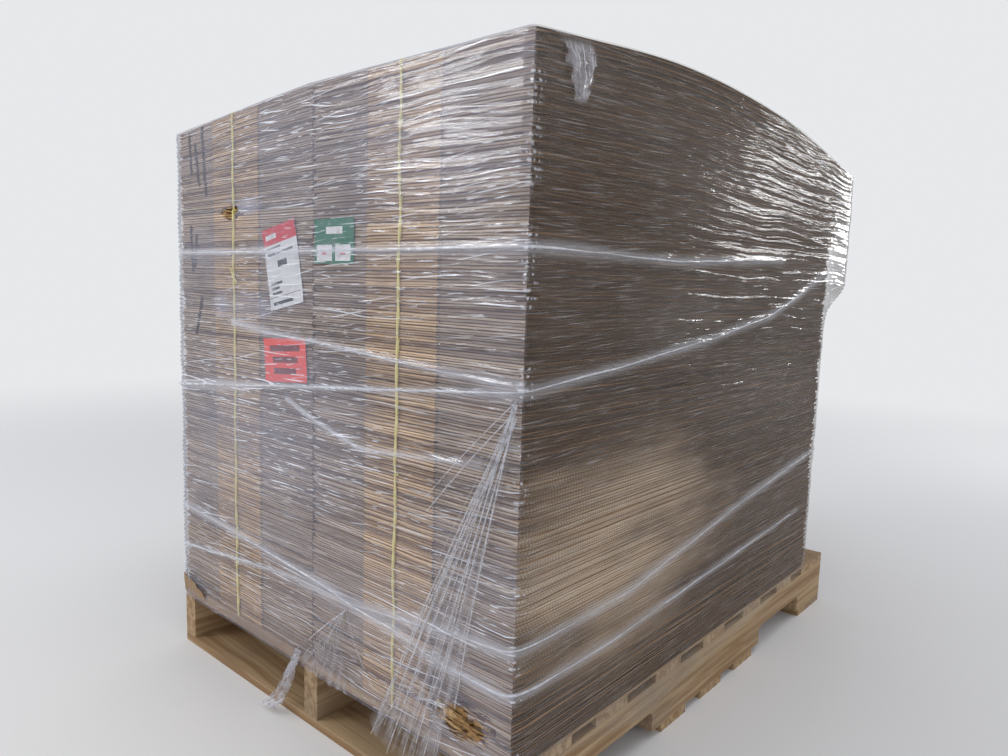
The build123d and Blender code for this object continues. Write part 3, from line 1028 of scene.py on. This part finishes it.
def strandOutline(name, radius, lobes, sides):
    curve = bpy.data.curves.new(name, "CURVE")
    ring = curve.splines.new("POLY")
    ring.points.add(sides - 1)
    for i in range(sides):
        angle = 2 * math.pi * i / sides
        reach = radius * (1 + lobes * math.cos(2 * angle))
        ring.points[i].co = (reach * math.cos(angle), reach * math.sin(angle), 0, 1)
    ring.use_cyclic_u = True
    return linkNew(name, curve)


def strandMesh(name, points, radius, radii=None, lobes=0.0, twistLength=0.0, cyclic=False, smooth=True,
               sides=8):
    # a bevelled spline through the points, made a mesh; lobes give a two-ply outline that turns along it
    outline = strandOutline(name + "_outline", radius, lobes, sides)
    curve = bpy.data.curves.new(name, "CURVE")
    curve.dimensions = "3D"
    curve.bevel_mode = "OBJECT"
    curve.bevel_object = outline
    curve.use_fill_caps = not cyclic
    curve.twist_mode = "MINIMUM"
    spline = curve.splines.new("NURBS" if smooth else "POLY")
    spline.points.add(len(points) - 1)
    travelled = 0.0
    for i, point in enumerate(points):
        if i:
            travelled += (Vector(point) - Vector(points[i - 1])).length
        spline.points[i].co = (*point, 1)
        spline.points[i].radius = radii[i] if radii is not None else 1.0
        if twistLength:
            spline.points[i].tilt = 2 * math.pi * travelled / twistLength
    if smooth:
        spline.order_u = 3
        spline.use_endpoint_u = not cyclic
        spline.resolution_u = 5
    spline.use_cyclic_u = cyclic
    holder = linkNew(name, curve)
    bpy.context.view_layer.update()
    mesh = bpy.data.meshes.new_from_object(holder.evaluated_get(bpy.context.evaluated_depsgraph_get()))
    bpy.data.objects.remove(holder)
    bpy.data.objects.remove(outline)
    mesh.name = name
    piece = linkNew(name, mesh)
    smoothShade(piece)
    return piece


def gatheredMaterial(name, clearest, milkiest):
    # film drawn together: whiter and less clear, with fine lines
    material, tree, bsdf = newMaterial(name)
    place = objectPlace(tree)
    lines = noiseAt(tree, place, 90.0, detail=2.0)
    alpha = spread(tree, lines, 0.3, 0.7, clearest, milkiest)
    colour = mixColour(tree, lines, rgb(206, 207, 216), rgb(246, 248, 255))
    setInputs(tree, bsdf, {"Base Color": colour, "Alpha": alpha, "Roughness": 0.14, "IOR": 1.8})
    bumpInto(tree, bsdf, lines, 0.4 * mm, 0.8)
    return material


def looseMaterial(name, haze):
    # a single loose layer of film on its own map
    material, tree, bsdf = newMaterial(name)
    wrap = wrapPlace(tree)
    layer = useGroup(tree, creases, {"Wrap": wrap, "Tilt": 0.0, "Shift": 13.0})
    other = useGroup(tree, creases, {"Wrap": wrap, "Tilt": 0.25, "Shift": 17.0})
    # painted highlights: the loose film is less clear and whiter along its creases
    lines = larger(tree, layer["CreaseGlints"], times(tree, other["CreaseGlints"], 0.6))
    cloud = noiseAt(tree, wrap, 30.0)
    alpha = timesPlus(tree, lines, 0.6, spread(tree, cloud, 0.3, 0.7, haze * 0.4, haze))
    alpha = timesPlus(tree, attribute(tree, "band"), 0.16, alpha)
    alpha = times(tree, alpha, attribute(tree, "fade"), clamp=True)
    setInputs(tree, bsdf, {"Base Color": rgb(226, 226, 236), "Alpha": alpha, "Roughness": 0.1, "IOR": 1.9})
    bumpInto(tree, bsdf, layer["Ripples"], 1.5 * mm)
    return material


def borderFade(piece, share, down, seed, start=0.0):
    # clear at the ragged borders of a loose end, and at its top where it comes out of the wrap
    rim = np.minimum(share, 1 - share) + 0.10 * softNoise(down * 9, share * 4, seed)
    foot = (1 - down) + 0.10 * softNoise(share * 9, down * 3, seed + 1)
    head = ease(down, start, start + 0.15) if start else 1.0
    addAttribute(piece, "fade", ease(rim, 0.04, 0.16) * ease(foot, 0.05, 0.16) * head)


def foldRopes():
    pieces = []
    rng = np.random.default_rng(71)
    for number, fold in enumerate(film["folds"]):
        points = []
        radii = []
        for (startU, startV), (endU, endV) in zip(fold, fold[1:]):
            steps = max(2, int(abs(endU - startU) / 0.04))
            for step in range(steps):
                share = step / steps
                across = startU + (endU - startU) * share
                up = startV + (endV - startV) * share + rng.normal(0, 0.0006)
                points.append(onWrap(across, up, ropes["lift"]))
                thin = 1.0 if across < 0.05 else ropes["sideThin"]
                swell = math.sin(2.1 * number + 7 * across) * math.cos(19 * across)
                radii.append(thin * (0.6 + 0.4 * swell))
        radius = ropes["foldRadius"] * film["foldStrength"][number] * mm
        pieces.append(strandMesh(f"fold_{number}", points, radius, radii, sides=6))
    return joinPieces(pieces, "film_folds")


def fanRopes():
    pieces = []
    rng = np.random.default_rng(72)
    for fan in ropes["fans"]:
        startU, startV = fan["start"]
        for endU, endV in fan["ends"]:
            points = []
            beginU = startU + rng.uniform(-0.3, 0.3) * fan["spread"]
            beginV = startV - fan["spread"] * rng.uniform(0.0, 2.5)
            for share in np.linspace(0, 1, 9):
                lift = ropes["lift"] + 6 * math.sin(math.pi * share) * rng.uniform(0.95, 1.05)
                across = beginU + (endU - beginU) * share
                points.append(onWrap(across, beginV + (endV - beginV) * share, lift))
            radius = ropes["fanRadius"] * mm * rng.uniform(0.35, 1.5)
            pieces.append(strandMesh("strand", points, radius, sides=5))
    return joinPieces(pieces, "film_fan_ropes")


def alongLine(line, share):
    # each axis of a given line at a share of its way
    line = np.array(line)
    steps = np.linspace(0, 1, len(line))
    return [np.interp(share, steps, line[:, axis]) for axis in range(line.shape[1])]


def fanWeb(name, fan, seed):
    # the thin sheet that a fan's strands hold, pleated from its start down to the hem
    web, turn, up = newGrid(name, 70, 60)
    reach = 1 - up
    endU, endV = alongLine(fan["sheet"], turn)
    startU, startV = fan["start"]
    drop = 5 * fan["spread"]
    across = startU + (endU - startU) * reach
    up = startV - drop * turn + (endV - startV + drop * turn) * reach
    pleat = np.abs(np.sin(math.pi * (7 * turn + 0.8 * softNoise(turn * 6, reach * 2, seed))))
    addAttribute(web, "band", ease(pleat, 0.6, 0.95))
    lift = ropes["lift"] + 4 * np.sin(math.pi * reach) + 1.8 * pleat * (0.25 + reach)
    out = (film["endGap"] + film["offset"] + film["wrinkle"] + lift) * mm
    writePoints(web, np.stack([halfWidth + across, frontFace - out, loadBase + up], 1))
    writeUv(web, reach * 0.6, turn * 0.30)
    borderFade(web, turn, reach * 0.9, seed + 1)
    smoothShade(web)
    return web


def looseFlap():
    # a crumpled loose end near the top of the near corner
    flap, share, up = newGrid("film_top_flap", 34, 34)
    down = 1 - up
    (leftU, leftV), (rightU, rightV) = (alongLine(edge, down) for edge in ropes["flapEdges"])
    across = leftU + (rightU - leftU) * share
    up = leftV + (rightV - leftV) * share
    crumple = 0.6 * softNoise(share * 5 + down * 3, down * 6, 77)
    crumple += 0.4 * softNoise(share * 11, down * 13 - share * 5, 78)
    lift = ropes["lift"] + ropes["flapDepth"] * (0.5 + 0.5 * crumple) * ease(down, 0.0, 0.35)
    writePoints(flap, [onWrap(*spot) for spot in zip(across, up, lift)])
    writeUv(flap, down * 0.1, share * 0.08)
    borderFade(flap, share, down, 82, 0.05)
    smoothShade(flap)
    return flap


def hangingTail():
    # the crinkled end of the film that hangs from the lower edge in front of the pallet
    tail, share, up = newGrid("film_tail", 36, 150)
    down = 1 - up
    across, up, out = alongLine(ropes["tail"], down)
    narrow, wide = ropes["tailWidth"]
    width = narrow + (wide - narrow) * ease(down, 0.1, 0.7)
    angle = 5.5 * math.pi * share + 2.5 * softNoise(down * 5, share * 2, 74)
    around = 0.35 + 0.65 * np.abs(softNoise(down * 9, share * 7, 75))
    x = halfWidth + across + (share - 0.5) * width + 0.006 * np.sin(angle) * around
    y = frontFace - out - 0.006 * (1 + np.cos(angle)) * around * (1 - 0.6 * ease(down, 0.7, 1.0))
    crinkle = 1 - 2 * np.abs(softNoise(down * 26 + share * 4, share * 8, 78))
    y -= 1.5 * mm * crinkle * ease(down, 0.0, 0.1)
    x += 1.3 * mm * softNoise(down * 30, share * 9 + down * 6, 79)
    z = np.maximum(loadBase + up + 0.005 * (1 + softNoise(share * 9, down * 12, 76)), 1.5 * mm)
    writePoints(tail, np.stack([x, y, z], 1))
    writeUv(tail, down * 0.25, share * 0.1)
    borderFade(tail, 0.2 + 0.6 * share, down * 0.9, 95)
    smoothShade(tail)
    return tail


gathered = gatheredMaterial("gathered_film", 0.55, 0.92)
drawn = gatheredMaterial("drawn_film", 0.16, 0.46)
loose = looseMaterial("loose_film", 0.5)
webFilm = looseMaterial("fan_film", 0.10)
for piece, material in (
    (foldRopes(), gathered),
    (fanRopes(), drawn),
    (fanWeb("film_fan_web", ropes["fans"][0], 91), webFilm),
    (fanWeb("film_gather_web", ropes["fans"][1], 93), webFilm),
    (hangingTail(), loose),
    (looseFlap(), loose),
):
    giveMaterial(piece, material)
    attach(piece, "root")
print("folds and loose ends of the film made")


# Torn strips of board that stick out of the holes

def tornMaterial():
    material, tree, bsdf = newMaterial("torn_board")
    place = objectPlace(tree)
    fibres = noiseAt(tree, place, 300.0, stretch=(0.3, 1, 1))
    tone = noiseAt(tree, place, 60.0, detail=2.0)
    colour = mixColour(tree, fibres, rgb(86, 60, 36), rgb(204, 162, 104))
    colour = mixColour(tree, spread(tree, tone, 0.5, 0.7, 0.0, 0.6), colour, rgb(230, 200, 154))
    setInputs(tree, bsdf, {"Base Color": colour, "Roughness": 0.8})
    bumpInto(tree, bsdf, fibres, 0.4 * mm)
    return material


def tornStrips():
    rng = np.random.default_rng(61)
    strips = []
    for (across, up, halfAcross, halfUp), count in zip(tears["places"], tears["strips"]):
        for number in range(count):
            strip, along, over = newGrid("strip", 12, 3)
            along -= 0.5
            over -= 0.5
            length = rng.uniform(0.5, 1.3) * halfAcross
            width = rng.uniform(*tears["stripWidth"]) * mm
            aside = rng.uniform(-0.85, 0.85)
            x = halfWidth + across + aside * halfAcross + along * length
            rise = rng.uniform(-0.10, 0.10) + 0.06
            height = 0.9 * halfUp * rng.uniform(-1, 1) * math.sqrt(1 - aside ** 2)
            z = loadBase + up + height + over * width * (1 - 0.6 * along) - rise * along * length
            curl = rng.uniform(*tears["stripCurl"]) * mm
            y = frontFace + 1.0 * mm - curl * ease(along, -0.4, 0.5)
            y += 1.2 * mm * softNoise(along * 5 + number, over * 2, 62) + over * 1.5 * mm
            writePoints(strip, np.stack([x, y, z], 1))
            strips.append(thicken(strip, tears["stripThickness"] * mm))
    piece = joinPieces(strips, "torn_board_strips")
    giveMaterial(piece, tornMaterial())
    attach(piece, "root")


tornStrips()
print("torn strips made")


# String ties: a two-ply string round each bundle, a little aslant, with a knot

ties = {
    "radius": 2.2,  # mm
    "lobes": 0.28,
    "plyLength": 0.016,  # m
    "slack": 3.5,  # mm that a tie may stand to either side
    "spacing": 0.012,  # m between its points
    "frontKnot": (4, "left", 0.081),  # tier, side and height in the bundle, in m, of the knot that shows
}


def tieMaterial():
    material, tree, bsdf = newMaterial("yellow_string")
    place = objectPlace(tree)
    fibres = noiseAt(tree, place, 900.0, detail=2.0, stretch=(1, 1, 0.25))
    soil = noiseAt(tree, place, 40.0)
    colour = mixColour(tree, fibres, rgb(224, 204, 108), rgb(255, 250, 178))
    colour = mixColour(tree, spread(tree, soil, 0.55, 0.8, 0.0, 0.4), colour, rgb(120, 104, 70))
    setInputs(tree, bsdf, {"Base Color": colour, "Roughness": 0.5, "Sheen Weight": 0.15})
    bumpInto(tree, bsdf, fibres, 0.3 * mm)
    return material


def tieRoute(tier, heightAt, middle, slant, backY, bottomZ, rng):
    # up the labelled end, over the top, down the far end and back below
    frontY = frontFace - 0.8 * mm
    topZ, backTopZ = heightAt(frontFace), heightAt(topBack)
    count = int((topZ - bottomZ) / ties["spacing"])
    points = []
    for share in np.linspace(0, 1, count):
        wobble = 0.0012 * math.sin(share * 9 + tier * 2) + rng.normal(0, 0.0002)
        x = middle + slant * (share - 0.5) + wobble
        points.append((x, frontY, bottomZ + share * (topZ - bottomZ)))
    for share in np.linspace(0.002, 0.998, 60):
        y = frontY + share * (backY - frontY)
        points.append((middle + slant * 0.5 * (1 - share), y, heightAt(y) - 0.6 * mm))
    for share in np.linspace(0, 1, count):
        points.append((middle, backY, backTopZ - share * (backTopZ - bottomZ)))
    for share in np.linspace(0.01, 0.99, 30):
        points.append((middle - slant * 0.5 * share, backY - share * (backY - frontY), bottomZ))
    return points


def knotRoute(x, y, z, slant):
    # a loose end, two and a half turns and the other end
    points = [(x + 12 * mm, y, z - 11 * mm), (x + 6 * mm, y, z - 4 * mm)]
    for a in np.linspace(0, 5 * math.pi, 26):
        aside = 2.2 * mm * math.cos(a) + slant * 0.1
        rise = 2.6 * mm * math.sin(a) + a * 0.35 * mm
        points.append((x + aside, y - 0.5 * mm * math.sin(a / 2), z + rise))
    return points + [(x - 5 * mm, y, z + 9 * mm), (x - 9 * mm, y, z + 17 * mm)]


def buildTies():
    material = tieMaterial()
    radius = ties["radius"] * mm
    ply = {"lobes": ties["lobes"], "twistLength": ties["plyLength"]}
    knotTier, knotSide, knotHeight = ties["frontKnot"]
    for tier in range(tierCount):
        for side in ("left", "right"):
            low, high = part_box(f"string_tier_{tier + 1}_{side}")
            rng = np.random.default_rng(300 + 10 * tier + (side == "left"))
            middle = (low.x + high.x) / 2 + rng.uniform(-1, 1) * ties["slack"] * mm * 0.5
            slant = rng.uniform(-1, 1) * ties["slack"] * mm
            backY = high.y - 0.7 * mm
            bottomZ = low.z + radius * 0.5
            heightAt = partial(topAt, middle) if tier == tierCount - 1 else lambda y: high.z
            route = tieRoute(tier, heightAt, middle, slant, backY, bottomZ, rng)
            loop = strandMesh("tie", route, radius, cyclic=True, smooth=False, **ply)
            if (tier + 1, side) == (knotTier, knotSide):
                spot = (middle, frontFace - 2.0 * mm, bottomZ + knotHeight)
            else:
                spot = (middle, backY + 1.2 * mm, bottomZ + rng.uniform(0.3, 0.7) * (high.z - low.z))
            knot = strandMesh("knot", knotRoute(*spot, slant), radius * 0.8, **ply)
            tie = joinPieces([loop, knot], f"tie_tier_{tier + 1}_{side}")
            giveMaterial(tie, material)
            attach(tie, "root")
            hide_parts(f"string_tier_{tier + 1}_{side}")


buildTies()
print("string ties made")


# Labels: thin paper that follows the boards below it, with plain bars in place of print

labels = {
    # width and height in m, turn in degrees
    "orange_label": {"size": (0.127, 0.076), "turn": -4.5},
    "white_label": {"size": (0.100, 0.140), "turn": -11.5},
    "green_label": {"size": (0.102, 0.070), "turn": 0.0},
    "follow": 0.5,  # mm that the paper ripples over the boards
    "curl": 1.2,  # mm at the paper's corners
    "thickness": 0.25,  # mm
}


def labelSheet(name):
    low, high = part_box(name)
    middle = (low + high) / 2
    width, height = labels[name]["size"]
    turn = math.radians(labels[name]["turn"])
    sheet, across, up = newGrid(name + "_paper", 48, 56)
    writeUv(sheet, across, up)
    across -= 0.5
    up -= 0.5
    x = middle.x + across * width * math.cos(turn) + up * height * math.sin(turn)
    z = middle.z - across * width * math.sin(turn) + up * height * math.cos(turn)
    ripple = softNoise(x / 0.05, z / 0.008, len(name)) * labels["follow"] * mm
    curl = labels["curl"] * mm * ease(np.abs(across) + np.abs(up), 0.86, 1.0)
    y = high.y + ripple * 0.4 - curl - 0.6 * mm
    writePoints(sheet, np.stack([x, y, z], 1))
    thicken(sheet, labels["thickness"] * mm, offset=0)
    smoothShade(sheet, 40)
    return sheet


def paperMaterial(name, ground, bars):
    # bars are (left, bottom, right, top, colour) as shares of the label
    material, tree, bsdf = newMaterial(name + "_stock")
    spot = axesOf(tree, wrapPlace(tree))
    place = objectPlace(tree)
    colour = ground
    for left, bottom, right, top, ink in bars:
        inside = 1.0
        for value, low, high in ((spot[0], left, right), (spot[1], bottom, top)):
            here = times(tree, above(tree, value, low), below(tree, value, high))
            inside = times(tree, here, inside)
        colour = mixColour(tree, inside, colour, ink)
    soil = noiseAt(tree, place, 60.0, detail=4.0)
    colour = mixColour(tree, spread(tree, soil, 0.5, 0.8, 0.0, 0.35), colour, rgb(150, 132, 116))
    setInputs(tree, bsdf, {"Base Color": colour, "Roughness": 0.55})
    bumpInto(tree, bsdf, noiseAt(tree, place, 500.0), 0.1 * mm, 0.5)
    return material


def buildLabels():
    ink, red, paper = rgb(40, 40, 44), rgb(214, 44, 52), rgb(236, 236, 238)
    dark = rgb(120, 24, 20)
    prints = {
        "orange_label": (rgb(255, 74, 46), [
            (0.14, 0.70, 0.86, 0.84, dark),
            (0.20, 0.44, 0.80, 0.58, dark),
            (0.22, 0.18, 0.76, 0.32, dark),
        ]),
        "white_label": (paper, [
            (0.0, 0.79, 1.0, 1.0, red),
            (0.08, 0.86, 0.40, 0.92, paper),
            (0.10, 0.66, 0.86, 0.69, ink),
            (0.36, 0.50, 0.64, 0.58, ink),
            (0.08, 0.74, 0.50, 0.76, ink),
            (0.10, 0.30, 0.44, 0.33, ink),
            (0.10, 0.24, 0.34, 0.27, ink),
            (0.10, 0.18, 0.40, 0.21, ink),
            (0.0, 0.145, 1.0, 0.152, ink),
            (0.10, 0.05, 0.70, 0.09, ink),
        ]),
        "green_label": (rgb(20, 112, 78), [
            (0.30, 0.66, 0.72, 0.82, paper),
            (0.06, 0.06, 0.46, 0.42, paper),
            (0.54, 0.06, 0.92, 0.42, paper),
            (0.20, 0.20, 0.32, 0.25, red),
            (0.66, 0.20, 0.80, 0.25, red),
        ]),
    }
    for name, (ground, bars) in prints.items():
        sheet = labelSheet(name)
        giveMaterial(sheet, paperMaterial(name, ground, bars))
        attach(sheet, "root")
        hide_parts(name)


buildLabels()
print("labels made")


# Pallet and the sheet on it keep their own shapes; they get sawn wood and plain board

def sawnGroup():
    # sawn softwood along the first axis of the given map: colour and height
    tree, given, put = newGroup(
        "sawn_softwood",
        {"Along": "Vector", "Piece": "Float"},
        {"Colour": "Color", "Relief": "Float"},
    )
    shift = fromAxes(tree, given["Piece"], given["Piece"], given["Piece"])
    place = vectorMath(tree, "ADD", given["Along"], shift)
    warp = times(tree, noiseAt(tree, place, 3.0, detail=2.0, stretch=(0.6, 2.0, 2.0)), 0.06)
    warped = vectorMath(tree, "ADD", place, fromAxes(tree, 0.0, warp))
    rings = noiseAt(tree, warped, 1.0, detail=2.0, stretch=(1.4, 75, 75))
    fibres = noiseAt(tree, place, 1.0, detail=4.0, roughness=0.7, stretch=(14, 600, 600))
    sawMarks = noiseAt(tree, place, 1.0, detail=1.0, stretch=(260, 9, 9))
    grey = noiseAt(tree, place, 4.0)
    stretched = vectorMath(tree, "MULTIPLY", place, (3.1, 8.0, 8.0))
    knot = addNode(tree, "ShaderNodeTexVoronoi", {"Vector": stretched, "Scale": 1.0})
    knots = spread(tree, knot.outputs["Distance"], 0.11, 0.07)
    colour = mixColour(tree, spread(tree, rings, 0.35, 0.65), rgb(194, 168, 130), rgb(152, 120, 84))
    colour = mixColour(tree, times(tree, fibres, 0.45), colour, rgb(112, 84, 58))
    colour = mixColour(tree, spread(tree, grey, 0.45, 0.75, 0.0, 0.5), colour, rgb(128, 116, 102))
    colour = mixColour(tree, knots, colour, rgb(84, 52, 32))
    tree.links.new(colour, put["Colour"])
    tree.links.new(times(tree, plus(tree, fibres, sawMarks), 0.6), put["Relief"])
    return tree


def woodMaterial(name, sawn, turned):
    material, tree, bsdf = newMaterial(name)
    place = objectPlace(tree)
    axes = axesOf(tree, place)
    # each stringer or board has a number of its own, by its place, that shifts its grain
    if turned:
        along = fromAxes(tree, axes[1], axes[0], axes[2])
        piece = calc("ROUND", tree, times(tree, axes[0], 2.3))
    else:
        along = place
        piece = whole(tree, calc("DIVIDE", tree, plus(tree, axes[1], 0.63), 0.18))
        piece = plus(tree, piece, times(tree, above(tree, axes[2], 0.06), 20.0))
    wood = useGroup(tree, sawn, {"Along": along, "Piece": times(tree, piece, 1.7)})
    setInputs(tree, bsdf, {"Base Color": wood["Colour"], "Roughness": 0.82})
    bumpInto(tree, bsdf, wood["Relief"], 0.8 * mm, 0.8)
    return material


def sheetMaterial():
    material, tree, bsdf = newMaterial("sheet_board")
    place = objectPlace(tree)
    fibres = noiseAt(tree, place, 220.0)
    stains = noiseAt(tree, place, 6.0, detail=4.0)
    colour = mixColour(tree, fibres, rgb(134, 110, 86), rgb(176, 148, 116))
    colour = mixColour(tree, spread(tree, stains, 0.5, 0.75, 0.0, 0.6), colour, rgb(96, 74, 56))
    setInputs(tree, bsdf, {"Base Color": colour, "Roughness": 0.88})
    wash = calc("SINE", tree, times(tree, axesOf(tree, place)[0], 2 * math.pi / 0.0065))
    bumpInto(tree, bsdf, timesPlus(tree, wash, 0.15, fibres), 0.4 * mm, 0.6)
    return material


sheetCorner = {
    "fromEdge": 6.0,  # mm
    "width": 84.0,
    "height": 36.0,
    "foot": 9.0,  # below the load's base
    "stand": 4.5,  # off the labelled end
    "lean": 7.0,
    "thickness": 1.6,
}


def tornSheetCorner(board):
    # the sheet's near left corner is torn off and bent up against the wrap
    flap, across, up = newGrid("torn_sheet_corner", 30, 16)
    ragged = 0.14 * softNoise(across * 7, up * 0, 41)
    x = -halfWidth + (sheetCorner["fromEdge"] + across * sheetCorner["width"]) * mm
    tall = sheetCorner["height"] * (1 - 0.55 * across) + 10 * ragged
    tall *= ease(1.15 - across, 0.0, 0.25)
    z = loadBase - (sheetCorner["foot"] - up * tall) * mm
    lean = sheetCorner["lean"] * up ** 1.6 * (0.6 + 0.4 * softNoise(across * 4, up * 2, 42))
    y = frontFace - (sheetCorner["stand"] + lean) * mm
    writePoints(flap, np.stack([x, y, z], 1))
    thicken(flap, sheetCorner["thickness"] * mm)
    smoothShade(flap, 40)
    giveMaterial(flap, board)
    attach(flap, "root")


def dressPallet():
    sawn = sawnGroup()
    across = woodMaterial("deck_board_wood", sawn, False)
    lengthwise = woodMaterial("stringer_wood", sawn, True)
    board = sheetMaterial()
    for name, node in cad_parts.items():
        if "board" in name:
            material = across
        elif name.startswith("stringer"):
            material = lengthwise
        elif name == "slip_sheet":
            material = board
        else:
            continue
        node.data.materials.clear()
        node.data.materials.append(material)
    tornSheetCorner(board)


dressPallet()
print("pallet and sheet finished")


# Camera at the photo's place and angle

camera = {
    "place": (1.0434, -1.3201, 0.7747),  # m
    "turn": -41.073,  # degrees
    "down": 7.001,
    "roll": 1.827,
    "lens": 26.59,  # mm
    "sensor": 36.0,
}


def placeCamera():
    turn, down, roll = (math.radians(camera[key]) for key in ("turn", "down", "roll"))
    forward = Vector((math.sin(turn) * math.cos(down), math.cos(turn) * math.cos(down), -math.sin(down)))
    right = Vector((math.cos(turn), -math.sin(turn), 0))
    up = right.cross(forward)
    rolledRight = right * math.cos(roll) + up * math.sin(roll)
    rolledUp = -right * math.sin(roll) + up * math.cos(roll)
    data = bpy.data.cameras.new("photo_camera")
    data.lens = camera["lens"]
    data.sensor_width = camera["sensor"]
    holder = linkNew("photo_camera", data)
    holder.matrix_world = Matrix([
        [rolledRight[i], rolledUp[i], -forward[i], camera["place"][i]] for i in range(3)] + [[0, 0, 0, 1]])
    bpy.context.scene.camera = holder


# Studio

studio = {
    "floorSize": 60.0,
    "daylight": (0.46, 0.47, 0.50, 1),
    "backdrop": (0.80, 0.81, 0.83, 1),
    "lamps": {
        "key": {"place": (-2.6, -3.8, 3.0), "aim": (0, -0.6, 0.6), "size": (2.2, 1.6), "power": 70},
        "top": {"place": (0.4, -0.6, 4.2), "aim": (0, 0, 0.6), "size": (2.5, 2.5), "power": 50},
        "side": {"place": (3.6, -1.6, 1.5), "aim": (0.457, -0.1, 0.4), "size": (2.2, 2.0), "power": 8},
        "sideWindow": {"place": (1.9, 4.0, 1.75), "aim": (0.457, 0, 1.0), "size": (0.6, 0.6), "power": 15},
        "farWindow": {"place": (1.25, 4.0, 1.45), "aim": (0.457, 0.3, 1.0), "size": (0.4, 0.6), "power": 13},
        "endWindow": {"place": (-2.3, -3.2, 1.85), "aim": (0.29, -0.61, 1.0), "size": (0.5, 0.7), "power": 5},
        "behind": {"place": (2.6, -3.2, 1.9), "aim": (0.4, -0.6, 0.7), "size": (0.5, 0.5), "power": 8},
    },
}


def addPanel(name, place, aim, size, power):
    data = bpy.data.lights.new(name, "AREA")
    data.shape = "RECTANGLE"
    data.size, data.size_y = size
    data.energy = power
    lamp = linkNew(name, data)
    lamp.location = place
    lamp.rotation_euler = (Vector(aim) - Vector(place)).to_track_quat("-Z", "Y").to_euler()


def seenRays(tree):
    # 1 where the camera sees a surface, straight or in gloss or glass
    path = addNode(tree, "ShaderNodeLightPath").outputs
    seen = larger(tree, path["Is Camera Ray"], path["Is Glossy Ray"])
    return larger(tree, seen, path["Is Transmission Ray"])


def buildStudio():
    deselectAll()
    bpy.ops.mesh.primitive_plane_add(size=studio["floorSize"])
    floor = nameNew("floor")
    material, tree, bsdf = newMaterial("pale_floor")
    setInputs(tree, bsdf, {"Base Color": (0.78, 0.78, 0.78, 1), "Roughness": 0.9, "Specular IOR Level": 0.0})
    # far from the object the floor fades into the backdrop
    reach = vectorMath(tree, "LENGTH", objectPlace(tree))
    far = times(tree, spread(tree, reach, 1.2, 5.0), seenRays(tree))
    pale = addNode(tree, "ShaderNodeEmission", {"Color": studio["backdrop"]}).outputs[0]
    blend = addNode(tree, "ShaderNodeMixShader", {0: far, 1: bsdf.outputs[0], 2: pale}).outputs[0]
    tree.links.new(blend, tree.nodes["Material Output"].inputs["Surface"])
    floor.data.materials.append(material)
    world = bpy.data.worlds.new("studio")
    bpy.context.scene.world = world
    world.use_nodes = True
    tree = world.node_tree
    colour = mixColour(tree, seenRays(tree), studio["daylight"], studio["backdrop"])
    setInputs(tree, tree.nodes["Background"], {"Color": colour, "Strength": 1.0})
    for name, lamp in studio["lamps"].items():
        addPanel(name, **lamp)
    bpy.context.scene.view_settings.view_transform = "Standard"


placeCamera()
buildStudio()
